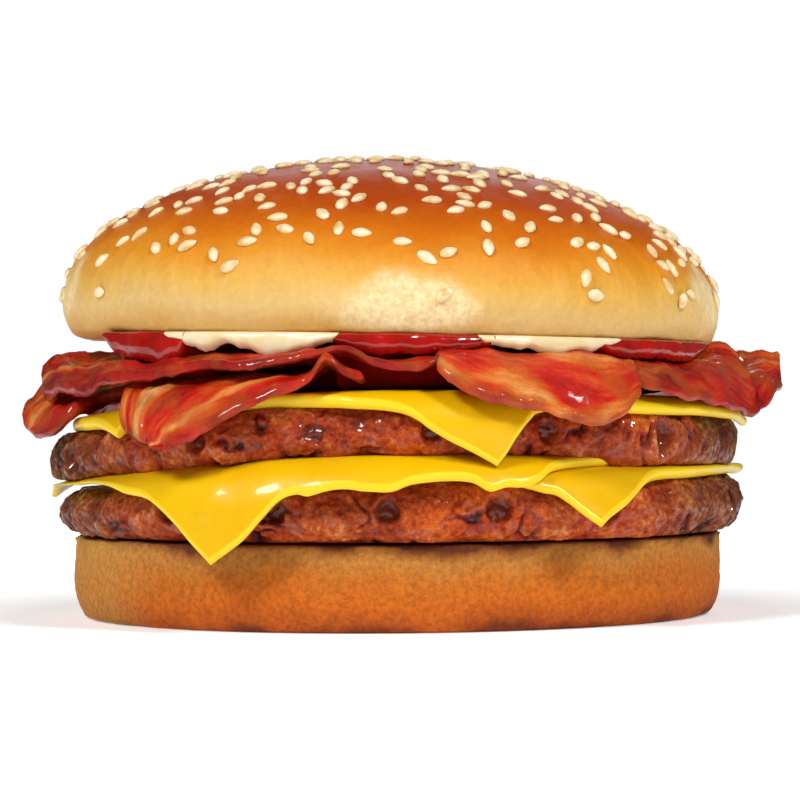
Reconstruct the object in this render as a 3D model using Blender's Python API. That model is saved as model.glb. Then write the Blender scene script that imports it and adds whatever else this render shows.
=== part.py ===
# Double cheeseburger with bacon, at real size.
# Metres, +Z up. The origin is the centre of the flat base and the front faces -Y.
# Azimuths are in degrees from the front, positive towards +X.

import bmesh
import bpy
import math
import random
from mathutils import Vector, noise

SEED = 11
CLEARANCE = 0.0003

# Bottom bun
HEEL_RADIUS = 0.0566
HEEL_HEIGHT = 0.0143
HEEL_CENTRE_X = 0.0003
HEEL_FOOT_RADIUS = 0.0535

# Patties: the docking holes lie on a grid, so they cut the rim at even steps
PATTY_RELIEF = 0.0008
PIT_DEPTH = 0.0026
LOWER_RADIUS = 0.0596
LOWER_CENTRE_X = 0.0012
LOWER_TOP = 0.0245
LOWER_PIT_STEP = 0.0180
LOWER_PIT_START = -0.0024
UPPER_RADIUS = 0.0602
UPPER_CENTRE_X = -0.0004
UPPER_BOTTOM = 0.0291
UPPER_TOP = 0.0369
UPPER_PIT_STEP = 0.0191
UPPER_PIT_START = -0.0128

# Cheese slices
CHEESE_THICKNESS = 0.0019
FOLD_RADIUS = 0.0046
LOWER_FOLD_START = 0.0560
UPPER_FOLD_START = 0.0566

# Bacon
BACON_THICKNESS = 0.0016
BACON_LEVEL_1 = 0.0025
BACON_LEVEL_2 = 0.0051
BACON_CRINKLE = (0.0006, 0.019, 0.4)
BACON_EASE = 0.0008

# Sauces
KETCHUP_TOP = 0.0462
KETCHUP_THICKNESS = 0.0012
MAYONNAISE_TOP = 0.0471
MAYONNAISE_THICKNESS = 0.0004

# Top bun
CROWN_BOTTOM = 0.0474
CROWN_TOP = 0.0795
CROWN_CENTRE_X = -0.0007

# Sesame seeds
SEED_COUNT = 106
SEED_LENGTH = 0.0034
SEED_WIDTH = 0.0020
SEED_HEIGHT = 0.0013
SEED_SPACING = 0.0078
SEED_SIDES = 6

# How the stack leans: the patties sag at the sides and the top bun tips to the right
SAG_LEFT = 0.0052
SAG_RIGHT = 0.0022
CROWN_TIP = 0.0230


def remove_everything():
    for obj in list(bpy.data.objects):
        bpy.data.objects.remove(obj, do_unlink=True)


def new_collection(name):
    collection = bpy.data.collections.new(name)
    bpy.context.scene.collection.children.link(collection)
    return collection


def new_material(name, colour, roughness):
    material = bpy.data.materials.new(name)
    material.use_nodes = True
    shader = material.node_tree.nodes["Principled BSDF"]
    shader.inputs["Base Color"].default_value = (*colour, 1.0)
    shader.inputs["Roughness"].default_value = roughness
    shader.inputs["Metallic"].default_value = 0.0
    return material


def new_part(name, points, faces, material, collection):
    mesh = bpy.data.meshes.new(name)
    mesh.from_pydata(points, [], faces)
    mesh.materials.append(material)
    solid = bmesh.new()
    solid.from_mesh(mesh)
    bmesh.ops.recalc_face_normals(solid, faces=solid.faces)
    solid.to_mesh(mesh)
    solid.free()
    mesh.shade_smooth()
    mesh.set_sharp_from_angle(angle=math.radians(42))
    part = bpy.data.objects.new(name, mesh)
    collection.objects.link(part)
    return part


def step(low, high, value):
    share = min(1.0, max(0.0, (value - low) / (high - low)))
    return share * share * (3.0 - 2.0 * share)


def around(keys, azimuth):
    """Smooth value between (azimuth, value) keys that go once around."""
    for (a, low), (b, high) in zip(keys, keys[1:] + [(keys[0][0] + 360.0, keys[0][1])]):
        turned = azimuth if azimuth >= a else azimuth + 360.0
        if a <= turned <= b:
            return low + (high - low) * step(a, b, turned)
    return keys[-1][1]


def along_keys(keys, share):
    """Smooth value between (share, value) keys that run from 0 to 1."""
    for (a, low), (b, high) in zip(keys, keys[1:]):
        if a <= share <= b:
            return low + (high - low) * step(a, b, share)
    return keys[-1][1]


def curve(path, share):
    """Point and direction on the curve that three points steer."""
    a, b, c = [Vector(p) for p in path]
    point = a * (1 - share) ** 2 + b * 2 * share * (1 - share) + c * share**2
    ahead = (b - a) * (1 - share) + (c - b) * share
    return point, ahead.normalized()


def rough(x, y, z, size, salt):
    return noise.noise(Vector((x, y, z)) / size + Vector((salt, SEED, 0.0)))


def lean(x, y, z):
    """Moves a point of the level stack to where it lies in the leaning one."""
    if x < 0.0:
        share = 0.45 * step(0.0146, 0.0246, z) + 0.55 * step(0.0246, 0.0292, z)
        sag = SAG_LEFT * (x / 0.06) ** 2 * share
    else:
        sag = SAG_RIGHT * (x / 0.06) ** 2 * step(0.0252, 0.0292, z)
    rise = min(1.0, max(0.0, (z - 0.0390) / 0.0080))
    return Vector((x, y, z - sag * (1.0 - rise) - CROWN_TIP * x * rise))


def polar(azimuth, radius):
    angle = math.radians(azimuth)
    return radius * math.sin(angle), -radius * math.cos(angle)


def azimuth_of(x, y):
    return math.degrees(math.atan2(x, -y))


def lathe(name, rings, azimuths, shape, material, collection):
    """Closed solid of rings from the bottom pole to the top one. Shape moves each ring point."""
    count = len(azimuths)
    points = [shape(azimuths[0], 0.0, rings[0][1])]
    for radius, z in rings:
        points += [shape(a, radius, z) for a in azimuths]
    points.append(shape(azimuths[0], 0.0, rings[-1][1]))
    faces = [(0, 1 + (k + 1) % count, 1 + k) for k in range(count)]
    for ring in range(len(rings) - 1):
        low = 1 + ring * count
        for k in range(count):
            after = (k + 1) % count
            faces.append((low + k, low + after, low + count + after, low + count + k))
    last = 1 + (len(rings) - 1) * count
    faces += [(len(points) - 1, last + k, last + (k + 1) % count) for k in range(count)]
    return new_part(name, points, faces, material, collection)


def even(count):
    return [-180.0 + 360.0 * k / count for k in range(count)]


# Bottom bun: a soft round base with an upright side
def make_heel(material, collection):
    rings = [
        (HEEL_FOOT_RADIUS, 0.0),
        (HEEL_RADIUS - 0.0010, 0.0016),
        (HEEL_RADIUS, 0.0048),
        (HEEL_RADIUS, 0.0100),
        (HEEL_RADIUS - 0.0002, HEEL_HEIGHT - 0.0012),
        (HEEL_RADIUS - 0.0012, HEEL_HEIGHT),
    ]

    def shape(azimuth, radius, z):
        x, y = polar(azimuth, radius)
        uneven = 1.0 + 0.012 * rough(x, y, z * 0.4, 0.040, 3.0)
        return Vector((HEEL_CENTRE_X + x * uneven, y * uneven, z))

    return lathe("heel", rings, even(48), shape, material, collection)


# Patties: a craggy bulging rim with docking pits
def pit_azimuths(radius, start, pitch):
    found = []
    for k in range(-4, 5):
        across = start + k * pitch
        if abs(across) < 0.80 * radius:
            angle = math.degrees(math.asin(across / radius))
            found += [angle, 180.0 - angle]
        if abs(across) < 0.52 * radius:
            found += [90.0 + angle, angle - 90.0]
    return sorted((a + 180.0) % 360.0 - 180.0 for a in found)


def patty_azimuths(pits):
    found = []
    for a, b in zip(pits, pits[1:] + [pits[0] + 360.0]):
        parts = max(1, round((b - a) / 6.2))
        found += [a + (b - a) * k / parts for k in range(parts)]
    return found


def make_patty(name, radius, centre_x, bottom, top, pits, salt, material, collection):
    thick = top - bottom
    rings = [
        (0.0200, bottom),
        (0.0380, bottom),
        (radius - 0.0046, bottom),
        (radius - 0.0012, bottom + 0.16 * thick),
        (radius, bottom + 0.36 * thick),
        (radius + 0.0001, bottom + 0.56 * thick),
        (radius - 0.0012, bottom + 0.82 * thick),
        (radius - 0.0044, top),
        (0.0380, top),
        (0.0200, top),
    ]

    def shape(azimuth, at, z):
        x, y = polar(azimuth, at)
        share = (z - bottom) / thick
        if 0.01 < share < 0.99:
            at += PATTY_RELIEF * rough(x, y, z, 0.009, salt)
            nearest = min(abs((azimuth - p + 180.0) % 360.0 - 180.0) for p in pits)
            across = math.radians(nearest) * radius / 0.0024
            hollow = math.exp(-(across**2) - ((share - 0.5) / 0.22) ** 2)
            at -= PIT_DEPTH * hollow
            x, y = polar(azimuth, at)
        return lean(centre_x + x, y, z)

    return lathe(name, rings, patty_azimuths(pits), shape, material, collection)


# A sheet over a patty: flat on top, rolled over the rim and hanging below it
class Cover:
    def __init__(self, centre_x, top, fold_start, droop):
        self.centre_x = centre_x
        self.top = top
        self.fold_start = fold_start
        self.droop = droop

    def place(self, x, y, lift, middle):
        """Point of the sheet: x, y where it lies unrolled, lift above the patty, middle its mean lift."""
        azimuth = azimuth_of(x, y)
        along = math.hypot(x, y)
        radius = along
        z = self.top + lift
        if along > self.fold_start:
            limit = math.radians(around(self.droop, azimuth))
            turn = min(limit, (along - self.fold_start) / (FOLD_RADIUS + middle))
            rest = along - self.fold_start - turn * (FOLD_RADIUS + middle)
            radius = self.fold_start + (FOLD_RADIUS + lift) * math.sin(turn) + rest * math.cos(turn)
            z = self.top - FOLD_RADIUS + (FOLD_RADIUS + lift) * math.cos(turn) - rest * math.sin(turn)
        px, py = polar(azimuth, radius)
        return lean(self.centre_x + px, py, z)


LOWER_COVER = Cover(
    LOWER_CENTRE_X,
    LOWER_TOP,
    LOWER_FOLD_START,
    [(-180, 40), (-102, 46), (-60, 62), (-30, 88), (0, 76), (30, 58), (70, 24), (105, 8), (150, 30)],
)
UPPER_COVER = Cover(
    UPPER_CENTRE_X,
    UPPER_TOP,
    UPPER_FOLD_START,
    [(-180, 50), (-100, 62), (-50, 84), (-15, 86), (16, 88), (50, 74), (97, 66), (140, 50)],
)
BACON_COVER = Cover(
    UPPER_CENTRE_X,
    UPPER_TOP,
    UPPER_FOLD_START,
    [(-180, 50), (-100, 48), (-50, 84), (-15, 86), (16, 88), (50, 70), (76, 60), (87, 6), (108, 6), (140, 50)],
)


def slice_outline(corners, bulges):
    """Points of a slice's edge: corners as (azimuth, distance), with the sides' melted bulge."""
    shares = (0.0, 0.045, 0.11, 0.2, 0.32, 0.44, 0.56, 0.68, 0.80, 0.89, 0.955)
    found = []
    flat = [Vector(polar(a, r)) for a, r in corners]
    for (a, b), bulge in zip(zip(flat, flat[1:] + flat[:1]), bulges):
        side = b - a
        out = Vector((side.y, -side.x)).normalized()
        for share in shares:
            found.append(a + side * share + out * bulge * math.sin(math.pi * share) ** 4)
    return found


# Cheese slices: square, soft edged, melted over the rim below them
def make_cheese(name, cover, corners, bulges, low, salt, material, collection):
    middle = low + CHEESE_THICKNESS / 2
    edge = slice_outline(corners, bulges)
    count = len(edge)

    def spread(distance):
        start = min(cover.fold_start - 0.001, distance - 0.004)
        return [0.36 * start, 0.69 * start] + [start + (distance - 0.0006 - start) * k / 4 for k in range(5)]

    def point(flat, along, lift):
        direction = flat.normalized()
        soft = 0.0005 * rough(flat.x, flat.y, 0.0, 0.016, salt) * step(0.057, 0.064, along)
        return cover.place(direction.x * along, direction.y * along, lift + soft, middle)

    points = []
    for lift in (low, low + CHEESE_THICKNESS):
        points.append(cover.place(0.0, -1e-6, lift, middle))
        for row in range(7):
            points += [point(p, spread(p.length)[row], lift) for p in edge]
    points += [point(p, p.length, middle) for p in edge]
    side = 1 + 7 * count
    faces = []
    for k in range(count):
        after = (k + 1) % count
        faces.append((0, 1 + after, 1 + k))
        faces.append((side, side + 1 + k, side + 1 + after))
        for row in range(6):
            a = 1 + row * count
            faces.append((a + k, a + after, a + count + after, a + count + k))
            a += side
            faces.append((a + k, a + count + k, a + count + after, a + after))
        outer = 1 + 6 * count
        faces.append((outer + k, outer + after, 2 * side + after, 2 * side + k))
        faces.append((side + outer + k, 2 * side + k, 2 * side + after, side + outer + after))
    return new_part(name, points, faces, material, collection)


# Bacon: a crinkled strip with blunt ends, laid over the upper patty
def make_bacon(name, path, width, low, waves, rises, roll, gate, material, collection):
    """Path is three points that steer a curve on the unrolled cover. Rises and roll are lifts at shares
    of the length, felt between the gate's two distances from the middle."""
    steps = [curve(path, k / 20)[0] for k in range(22)]
    length = sum((after - before).length for before, after in zip(steps[:20], steps[1:21]))
    long_count = max(8, round(length / 0.0056))
    wide_count = 4
    middle = low + BACON_THICKNESS / 2
    height, wave, phase = waves
    near, far = gate
    points = []
    for lift in (0.0, BACON_THICKNESS):
        for i in range(long_count + 1):
            u = i / long_count
            centre, ahead = curve(path, u)
            aside = Vector((-ahead.y, ahead.x))
            blunt = max(0.0, 1.0 - min(u, 1.0 - u) * length / 0.008)
            ragged = 0.003 * rough(u * length, 0.0, 0.0, 0.02, len(name) + width)
            wide = width * (1.0 - 0.42 * blunt**2.2) + ragged
            for j in range(wide_count + 1):
                v = j / wide_count - 0.5
                flat = centre + aside * (v * wide)
                turn = 2.0 * math.pi * (u * length + v * width * 0.35) / wave + phase
                rise = height * (0.5 + 0.5 * math.sin(turn))
                rise += BACON_EASE * step(0.054, 0.058, flat.length)
                inside = step(near - 0.005, near, flat.length) * (1.0 - step(far, far + 0.006, flat.length))
                rise += inside * (along_keys(rises, u) + along_keys(roll, u) * (v + 0.5))
                points.append(BACON_COVER.place(flat.x, flat.y, low + rise + lift, middle))
    row = wide_count + 1
    side = row * (long_count + 1)
    faces = []
    for i in range(long_count):
        for j in range(wide_count):
            k = i * row + j
            faces.append((k, k + 1, k + row + 1, k + row))
            k += side
            faces.append((k, k + row, k + row + 1, k + 1))
        for k, turn in ((i * row, False), (i * row + wide_count, True)):
            quad = (k, k + row, k + row + side, k + side)
            faces.append(quad[::-1] if turn else quad)
    for j in range(wide_count):
        for k, turn in ((j, True), (long_count * row + j, False)):
            quad = (k, k + 1, k + 1 + side, k + side)
            faces.append(quad[::-1] if turn else quad)
    return new_part(name, points, faces, material, collection)


# Sauces: thin discs with lobes that are pressed out under the top bun
def make_sauce(name, top, thick, inner, outer, lobes, drop, material, collection):
    def shape(azimuth, radius, z):
        push = around(lobes, azimuth)
        reach = inner + (outer - inner) * push
        share = radius / 0.0560
        at = reach * share if radius > 0.03 else radius
        low = drop * push * step(0.90, 1.0, share) if z < top - 0.0001 else 0.0
        x, y = polar(azimuth, at)
        return lean(CROWN_CENTRE_X + x, y, z - low)

    rings = [
        (0.0300, top - thick),
        (0.0515, top - thick),
        (0.0553, top - thick),
        (0.0560, top - 0.5 * thick),
        (0.0553, top),
    ]
    return lathe(name, rings, even(60), shape, material, collection)


# Top bun: a low dome, with the seeds grown into its crust
CROWN_PROFILE = [
    (0.0535, 0.0000),
    (0.0560, 0.0010),
    (0.0572, 0.0035),
    (0.0575, 0.0070),
    (0.0566, 0.0112),
    (0.0543, 0.0152),
    (0.0502, 0.0195),
    (0.0437, 0.0237),
    (0.0343, 0.0280),
    (0.0230, 0.0309),
    (0.0110, 0.0328),
]


def crown_point(azimuth, radius, z):
    x, y = polar(azimuth, radius)
    uneven = 1.0 + 0.010 * rough(x, y, z, 0.045, 8.0)
    high = CROWN_BOTTOM + z * (CROWN_TOP - CROWN_BOTTOM) / 0.0332
    return lean(CROWN_CENTRE_X + x * uneven, y * uneven, high)


def make_crown(material, collection):
    rings = CROWN_PROFILE + [(0.0030, 0.0332)]
    return lathe("crown", rings, even(52), crown_point, material, collection)


def dome_place(azimuth, share):
    """Surface point and its normal, with share from 0 at the top to 1 at the rim's widest ring."""
    rings = [(0.0, 0.0332)] + CROWN_PROFILE[:1:-1]
    lengths = [0.0]
    for (r0, z0), (r1, z1) in zip(rings, rings[1:]):
        lengths.append(lengths[-1] + math.hypot(r1 - r0, z1 - z0))
    at = share * lengths[-1]

    def ring(distance):
        distance = min(max(distance, 0.0), lengths[-1] - 1e-6)
        k = max(i for i in range(len(rings) - 1) if lengths[i] <= distance)
        part = (distance - lengths[k]) / (lengths[k + 1] - lengths[k])
        return [rings[k][n] + (rings[k + 1][n] - rings[k][n]) * part for n in (0, 1)]

    here = crown_point(azimuth, *ring(at))
    down = crown_point(azimuth, *ring(at + 0.002)) - crown_point(azimuth, *ring(at - 0.002))
    side = crown_point(azimuth + 2.0, *ring(at)) - crown_point(azimuth - 2.0, *ring(at))
    return here, down.cross(side).normalized(), ring(at)[0]


def seed_places():
    """Seeded, evenly spread places of the seeds, the largest first."""
    pick = random.Random(SEED)
    found = []
    while len(found) < SEED_COUNT:
        azimuth = pick.uniform(-180.0, 180.0)
        share = pick.uniform(0.03, 0.86)
        keep = pick.random()
        turn = pick.uniform(0.0, math.pi)
        place, normal, radius = dome_place(azimuth, share)
        if keep > radius / 0.0574:
            continue
        if all((place - other[0]).length > SEED_SPACING for other in found):
            size = 1.06 - 0.16 * len(found) / SEED_COUNT
            found.append((place, normal, turn, size))
    return found


def make_seed(place, normal, turn, size, material, collection):
    along = normal.orthogonal().normalized()
    ahead = along * math.cos(turn) + normal.cross(along) * math.sin(turn)
    aside = normal.cross(ahead)
    high = normal * SEED_HEIGHT * size
    points = [place + high * 0.55, place - high * 0.60]
    for k in range(SEED_SIDES):
        angle = 2.0 * math.pi * k / SEED_SIDES
        reach = ahead * math.cos(angle) * SEED_LENGTH * 0.5 * size
        narrow = 1.0 - 0.30 * math.cos(angle)
        reach += aside * math.sin(angle) * SEED_WIDTH * 0.5 * size * narrow
        points.append(place + reach + high * 0.12)
    faces = []
    for k in range(SEED_SIDES):
        after = (k + 1) % SEED_SIDES
        faces.append((0, 2 + k, 2 + after))
        faces.append((1, 2 + after, 2 + k))
    return new_part("seed", points, faces, material, collection)


def join_seeds(crown, material, collection):
    for place in seed_places():
        make_seed(*place, material, collection)
    join = crown.modifiers.new("seeds", "BOOLEAN")
    join.operation = "UNION"
    join.operand_type = "COLLECTION"
    join.collection = collection
    join.solver = "EXACT"
    graph = bpy.context.evaluated_depsgraph_get()
    mesh = bpy.data.meshes.new_from_object(crown.evaluated_get(graph))
    crown.modifiers.clear()
    crown.data = mesh
    mesh.shade_smooth()
    mesh.set_sharp_from_angle(angle=math.radians(38))
    for seed in list(collection.objects):
        bpy.data.objects.remove(seed, do_unlink=True)


# The pieces, in the order in which they are stacked
def make_patties(material, collection):
    low = HEEL_HEIGHT + CLEARANCE
    pits = pit_azimuths(LOWER_RADIUS, LOWER_PIT_START, LOWER_PIT_STEP)
    make_patty("patty_lower", LOWER_RADIUS, LOWER_CENTRE_X, low, LOWER_TOP, pits, 1.0, material, collection)
    low = UPPER_BOTTOM
    pits = pit_azimuths(UPPER_RADIUS, UPPER_PIT_START, UPPER_PIT_STEP)
    make_patty("patty_upper", UPPER_RADIUS, UPPER_CENTRE_X, low, UPPER_TOP, pits, 5.0, material, collection)


def make_slices(material, collection):
    first = CLEARANCE
    second = 2 * CLEARANCE + CHEESE_THICKNESS
    corners = [(29.6, 0.0688), (105, 0.0640), (206, 0.0560), (305, 0.0570)]
    bulges = (0.001, 0.006, 0.006, 0.007)
    make_cheese("cheese_lower_right", LOWER_COVER, corners, bulges, first, 2.0, material, collection)
    corners = [(-28.3, 0.0774), (47, 0.0630), (158, 0.0540), (258, 0.0685)]
    bulges = (0.011, 0.006, 0.006, 0.001)
    make_cheese("cheese_lower_left", LOWER_COVER, corners, bulges, second, 4.0, material, collection)
    corners = [(15.5, 0.0711), (97, 0.0634), (202, 0.0560), (309.5, 0.0660)]
    bulges = (0.001, 0.006, 0.006, -0.002)
    make_cheese("cheese_upper", UPPER_COVER, corners, bulges, first, 6.0, material, collection)


def make_strips(material, collection):
    """Each strip: name, steering points, width, level, waves, rises, roll and gate."""
    one = BACON_LEVEL_1
    two = BACON_LEVEL_2
    level = [(0.0, 0.0), (1.0, 0.0)]
    twist = [(0.0, 0.0030), (0.12, 0.0024), (0.3, 0.0), (0.86, 0.0), (1.0, 0.0075)]
    arch = [(0.0, 0.0), (0.62, 0.0), (0.84, 0.0042), (1.0, 0.0)]
    bend = [(0.0, 0.0), (0.5, 0.0), (0.75, 0.0036), (0.88, 0.0020), (1.0, 0.0004)]
    high = [(0.0, 0.0024), (0.40, 0.0018), (0.7, 0.0), (1.0, 0.0)]
    over = (0.056, 0.2)
    wave = BACON_CRINKLE
    long_wave = (0.0006, 0.028, 2.8)

    across = ((-0.0645, -0.0050), (0.0, -0.0060), (0.0685, 0.0090))
    front_left = ((-0.0440, -0.0440), (-0.0200, -0.0450), (0.0010, -0.0480))
    front_right = ((0.0170, -0.0200), (0.0205, -0.0400), (0.0245, -0.0600))
    rear = ((-0.0560, 0.0300), (0.0, 0.0360), (0.0540, 0.0340))
    top_left = ((-0.0500, 0.0020), (-0.0490, -0.0400), (0.0060, -0.0360))
    top_right = ((0.0360, -0.0260), (0.0525, -0.0330), (0.0530, -0.0070))
    top_rear = ((-0.0490, 0.0240), (0.0, 0.0400), (0.0470, 0.0320))
    strips = [
        ("bacon_across", across, 0.021, one, wave, level, twist, (0.062, 0.2)),
        ("bacon_front_left", front_left, 0.026, one, long_wave, arch, level, over),
        ("bacon_front_right", front_right, 0.029, one, wave, bend, level, over),
        ("bacon_rear", rear, 0.022, one, wave, level, level, over),
        ("bacon_top_left", top_left, 0.027, two, wave, high, level, (0.059, 0.061)),
        ("bacon_top_right", top_right, 0.027, two, wave, level, level, over),
        ("bacon_top_rear", top_rear, 0.024, two, wave, level, level, over),
    ]
    for strip in strips:
        make_bacon(*strip, material, collection)


def make_ketchup(material, collection):
    lobes = [
        (-180, 0.0), (-150, 0.1), (-120, 0.8), (-90, 0.7), (-70, 0.2), (-50, 1.0), (-38, 0.0), (-12, 0.0),
        (2, 0.7), (9, 0.6), (17, 0.0), (40, 0.0), (50, 0.9), (66, 0.8), (84, 0.1), (110, 0.1), (130, 0.8),
    ]
    make_sauce("ketchup", KETCHUP_TOP, KETCHUP_THICKNESS, 0.046, 0.0540, lobes, 0.0002, material, collection)


def make_mayonnaise(material, collection):
    lobes = [
        (-180, 0.8), (-162, 0.7), (-150, 0.0), (-39, 0.0), (-31, 0.8), (-25, 0.6), (-18, 1.0), (-8, 0.0),
        (16, 0.0), (22, 0.8), (29, 1.0), (38, 0.2), (44, 0.0), (86, 0.0), (97, 0.8), (112, 0.0), (150, 0.0),
    ]
    thick = MAYONNAISE_THICKNESS
    make_sauce("mayonnaise", MAYONNAISE_TOP, thick, 0.047, 0.0560, lobes, 0.0018, material, collection)


def main():
    remove_everything()
    burger = new_collection("double_cheeseburger")
    seeds = new_collection("seeds_to_join")
    seeds.hide_render = True
    crust = new_material("crust_glaze", (0.62, 0.24, 0.05), 0.35)
    make_heel(new_material("bread_side", (0.72, 0.42, 0.14), 0.8), burger)
    make_patties(new_material("grilled_beef", (0.16, 0.05, 0.03), 0.45), burger)
    make_slices(new_material("cheese_slice", (0.93, 0.58, 0.02), 0.35), burger)
    make_strips(new_material("fried_bacon", (0.45, 0.03, 0.02), 0.30), burger)
    make_ketchup(new_material("ketchup_gloss", (0.50, 0.02, 0.01), 0.15), burger)
    make_mayonnaise(new_material("mayonnaise_cream", (0.88, 0.74, 0.48), 0.30), burger)
    crown = make_crown(crust, burger)
    join_seeds(crown, crust, seeds)


main()
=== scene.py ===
import math
import random

import bmesh
import bpy
import numpy as np
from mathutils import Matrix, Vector, noise


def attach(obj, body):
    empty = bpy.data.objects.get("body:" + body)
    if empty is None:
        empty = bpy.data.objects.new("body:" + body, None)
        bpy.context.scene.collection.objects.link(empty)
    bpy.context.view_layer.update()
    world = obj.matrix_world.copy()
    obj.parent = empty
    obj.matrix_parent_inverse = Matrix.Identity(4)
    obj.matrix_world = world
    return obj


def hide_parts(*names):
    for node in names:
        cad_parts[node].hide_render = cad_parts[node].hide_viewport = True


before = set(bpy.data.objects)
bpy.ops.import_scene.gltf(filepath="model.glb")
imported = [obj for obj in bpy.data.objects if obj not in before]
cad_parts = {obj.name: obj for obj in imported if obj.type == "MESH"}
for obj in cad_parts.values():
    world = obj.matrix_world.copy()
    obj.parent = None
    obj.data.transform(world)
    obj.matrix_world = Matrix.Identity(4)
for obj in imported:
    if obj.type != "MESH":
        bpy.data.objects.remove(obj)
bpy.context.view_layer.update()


# BOTTOM BUN
# The lower half of a soft wheat bun, set on the table cut face up. Its side is matte crumb that was pressed
# against the tin, so it is upright and browned at the foot. Its left side is painted paler as painted rim
# light, and its top edge is painted darker as painted shade under the patty.
HEEL_RADIUS = 0.0566
HEEL_HEIGHT = 0.0143
HEEL_CENTRE_X = 0.0003
HEEL_FOOT_RADIUS = 0.0535
HEEL_PROFILE = [
    (0.0200, 0.0),
    (0.0440, 0.0),
    (HEEL_FOOT_RADIUS, 0.0),
    (HEEL_RADIUS - 0.0010, 0.0016),
    (HEEL_RADIUS, 0.0048),
    (HEEL_RADIUS, 0.0100),
    (HEEL_RADIUS - 0.0002, HEEL_HEIGHT - 0.0012),
    (HEEL_RADIUS - 0.0012, HEEL_HEIGHT),
    (0.0440, HEEL_HEIGHT),
    (0.0200, HEEL_HEIGHT),
]
HEEL_UNEVEN = 0.012
DENT_DEPTH = 0.00035
DENT_WIDTH = 0.0060
PORE_DEPTH = 0.00010
PORE_WIDTH = 0.0012
CRUMB_DEPTH = 0.0004
CRUMB_WIDTH = 0.0030
SEED = 11


def linear(code):
    """Linear colour of an sRGB hex code."""
    parts = [int(code[k : k + 2], 16) / 255 for k in (0, 2, 4)]
    return tuple(c / 12.92 if c <= 0.04045 else ((c + 0.055) / 1.055) ** 2.4 for c in parts) + (1.0,)


def smooth(low, high, value):
    """0 below low, 1 above high, an even S between."""
    share = np.clip((value - low) / (high - low), 0.0, 1.0)
    return share * share * (3.0 - 2.0 * share)


def lattice(points, salt):
    """Random vector for each whole-number point, from -1 to 1."""
    x, y, z = [points[..., k].astype(np.int64) for k in range(3)]
    mixed = (x * 73856093) ^ (y * 19349663) ^ (z * 83492791) ^ (salt * 1234577)
    found = []
    for turn in (11, 17, 23):
        mixed = ((mixed ^ (mixed >> 13)) * (1274126177 + turn)) & 0x7FFFFFFF
        found.append((mixed ^ (mixed >> 15)) & 0xFFFFF)
    return np.stack(found, axis=-1) / float(0x7FFFF) - 1.0


def grain(points, size, salt, octaves=1):
    """Smooth random value of about -1 to 1 with features of that size, finer octaves added."""
    total = np.zeros(points.shape[:-1])
    strength = 1.0
    for octave in range(octaves):
        at = points / size * 2.0**octave + 17.3 * octave
        cell = np.floor(at)
        part = at - cell
        fade = part**3 * (part * (part * 6.0 - 15.0) + 10.0)
        for corner in range(8):
            offset = np.array([corner & 1, corner >> 1 & 1, corner >> 2 & 1])
            weight = np.prod(np.where(offset, fade, 1.0 - fade), axis=-1)
            slope = lattice(cell + offset, salt + octave)
            total += strength * weight * np.sum(slope * (part - offset), axis=-1)
        strength *= 0.5
    return total * 1.25


def rough(points, size, salt):
    """The slow unevenness that the solids have too."""
    shift = Vector((salt, SEED, 0.0))
    flat = points.reshape(-1, 3) / size
    found = [noise.noise(Vector(p) + shift) for p in flat.tolist()]
    return np.array(found).reshape(points.shape[:-1])


def polar(azimuth, radius):
    """X and Y for an azimuth that runs from the front, -Y, towards +X."""
    angle = np.radians(azimuth)
    return radius * np.sin(angle), -radius * np.cos(angle)


def spline(stations, shares):
    """Rows of a smooth curve through the stations, at shares from 0 to 1 of their number."""
    rows = np.array(stations, float)
    ends = np.vstack([2 * rows[0] - rows[1], rows, 2 * rows[-1] - rows[-2]])
    at = np.asarray(shares) * (len(rows) - 1)
    k = np.minimum(at.astype(int), len(rows) - 2)
    t = (at - k)[:, None]
    a, b, c, d = ends[k], ends[k + 1], ends[k + 2], ends[k + 3]
    return 0.5 * (2 * b + (c - a) * t + (2 * a - 5 * b + 4 * c - d) * t**2 + (3 * b - a - 3 * c + d) * t**3)


def even_rows(stations, count):
    """The same curve, with its rows at equal distances."""
    fine = spline(stations, np.linspace(0.0, 1.0, 600))
    run = np.concatenate([[0.0], np.cumsum(np.linalg.norm(np.diff(fine, axis=0), axis=1))])
    at = np.linspace(0.0, run[-1], count)
    return np.stack([np.interp(at, run, fine[:, k]) for k in range(fine.shape[1])], axis=1)


def new_piece(name, points, faces, finish, node_name, values=None, uv=None):
    """A closed mesh with faces outwards that stands for a node. Values are point attributes."""
    mesh = bpy.data.meshes.new(name)
    mesh.from_pydata(points.reshape(-1, 3).tolist(), [], faces)
    mesh.materials.append(finish)
    for label, value in (values or {}).items():
        layer = mesh.attributes.new(label, "FLOAT", "POINT")
        layer.data.foreach_set("value", value.ravel().astype(np.float32))
    if uv is not None:
        corners = np.empty(len(mesh.loops), np.int32)
        mesh.loops.foreach_get("vertex_index", corners)
        mesh.uv_layers.new(name="UVMap").data.foreach_set("uv", uv.reshape(-1, 2)[corners].ravel())
    solid = bmesh.new()
    solid.from_mesh(mesh)
    bmesh.ops.recalc_face_normals(solid, faces=solid.faces)
    solid.to_mesh(mesh)
    solid.free()
    mesh.shade_smooth()
    piece = bpy.data.objects.new(name, mesh)
    bpy.context.scene.collection.objects.link(piece)
    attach(piece, "root")
    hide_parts(node_name)
    return piece


def ring_faces(rows, columns):
    """Faces of a stack of rings that starts and ends in a pole."""
    k = np.arange(columns)
    after = (k + 1) % columns
    faces = [np.stack([np.zeros(columns, int), 1 + after, 1 + k], axis=1).tolist()]
    for row in range(rows - 1):
        a = 1 + row * columns
        faces.append(np.stack([a + k, a + after, a + columns + after, a + columns + k], axis=1).tolist())
    last = 1 + (rows - 1) * columns
    faces.append(np.stack([np.full(columns, last + columns), last + k, last + after], axis=1).tolist())
    return sum(faces, [])


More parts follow.
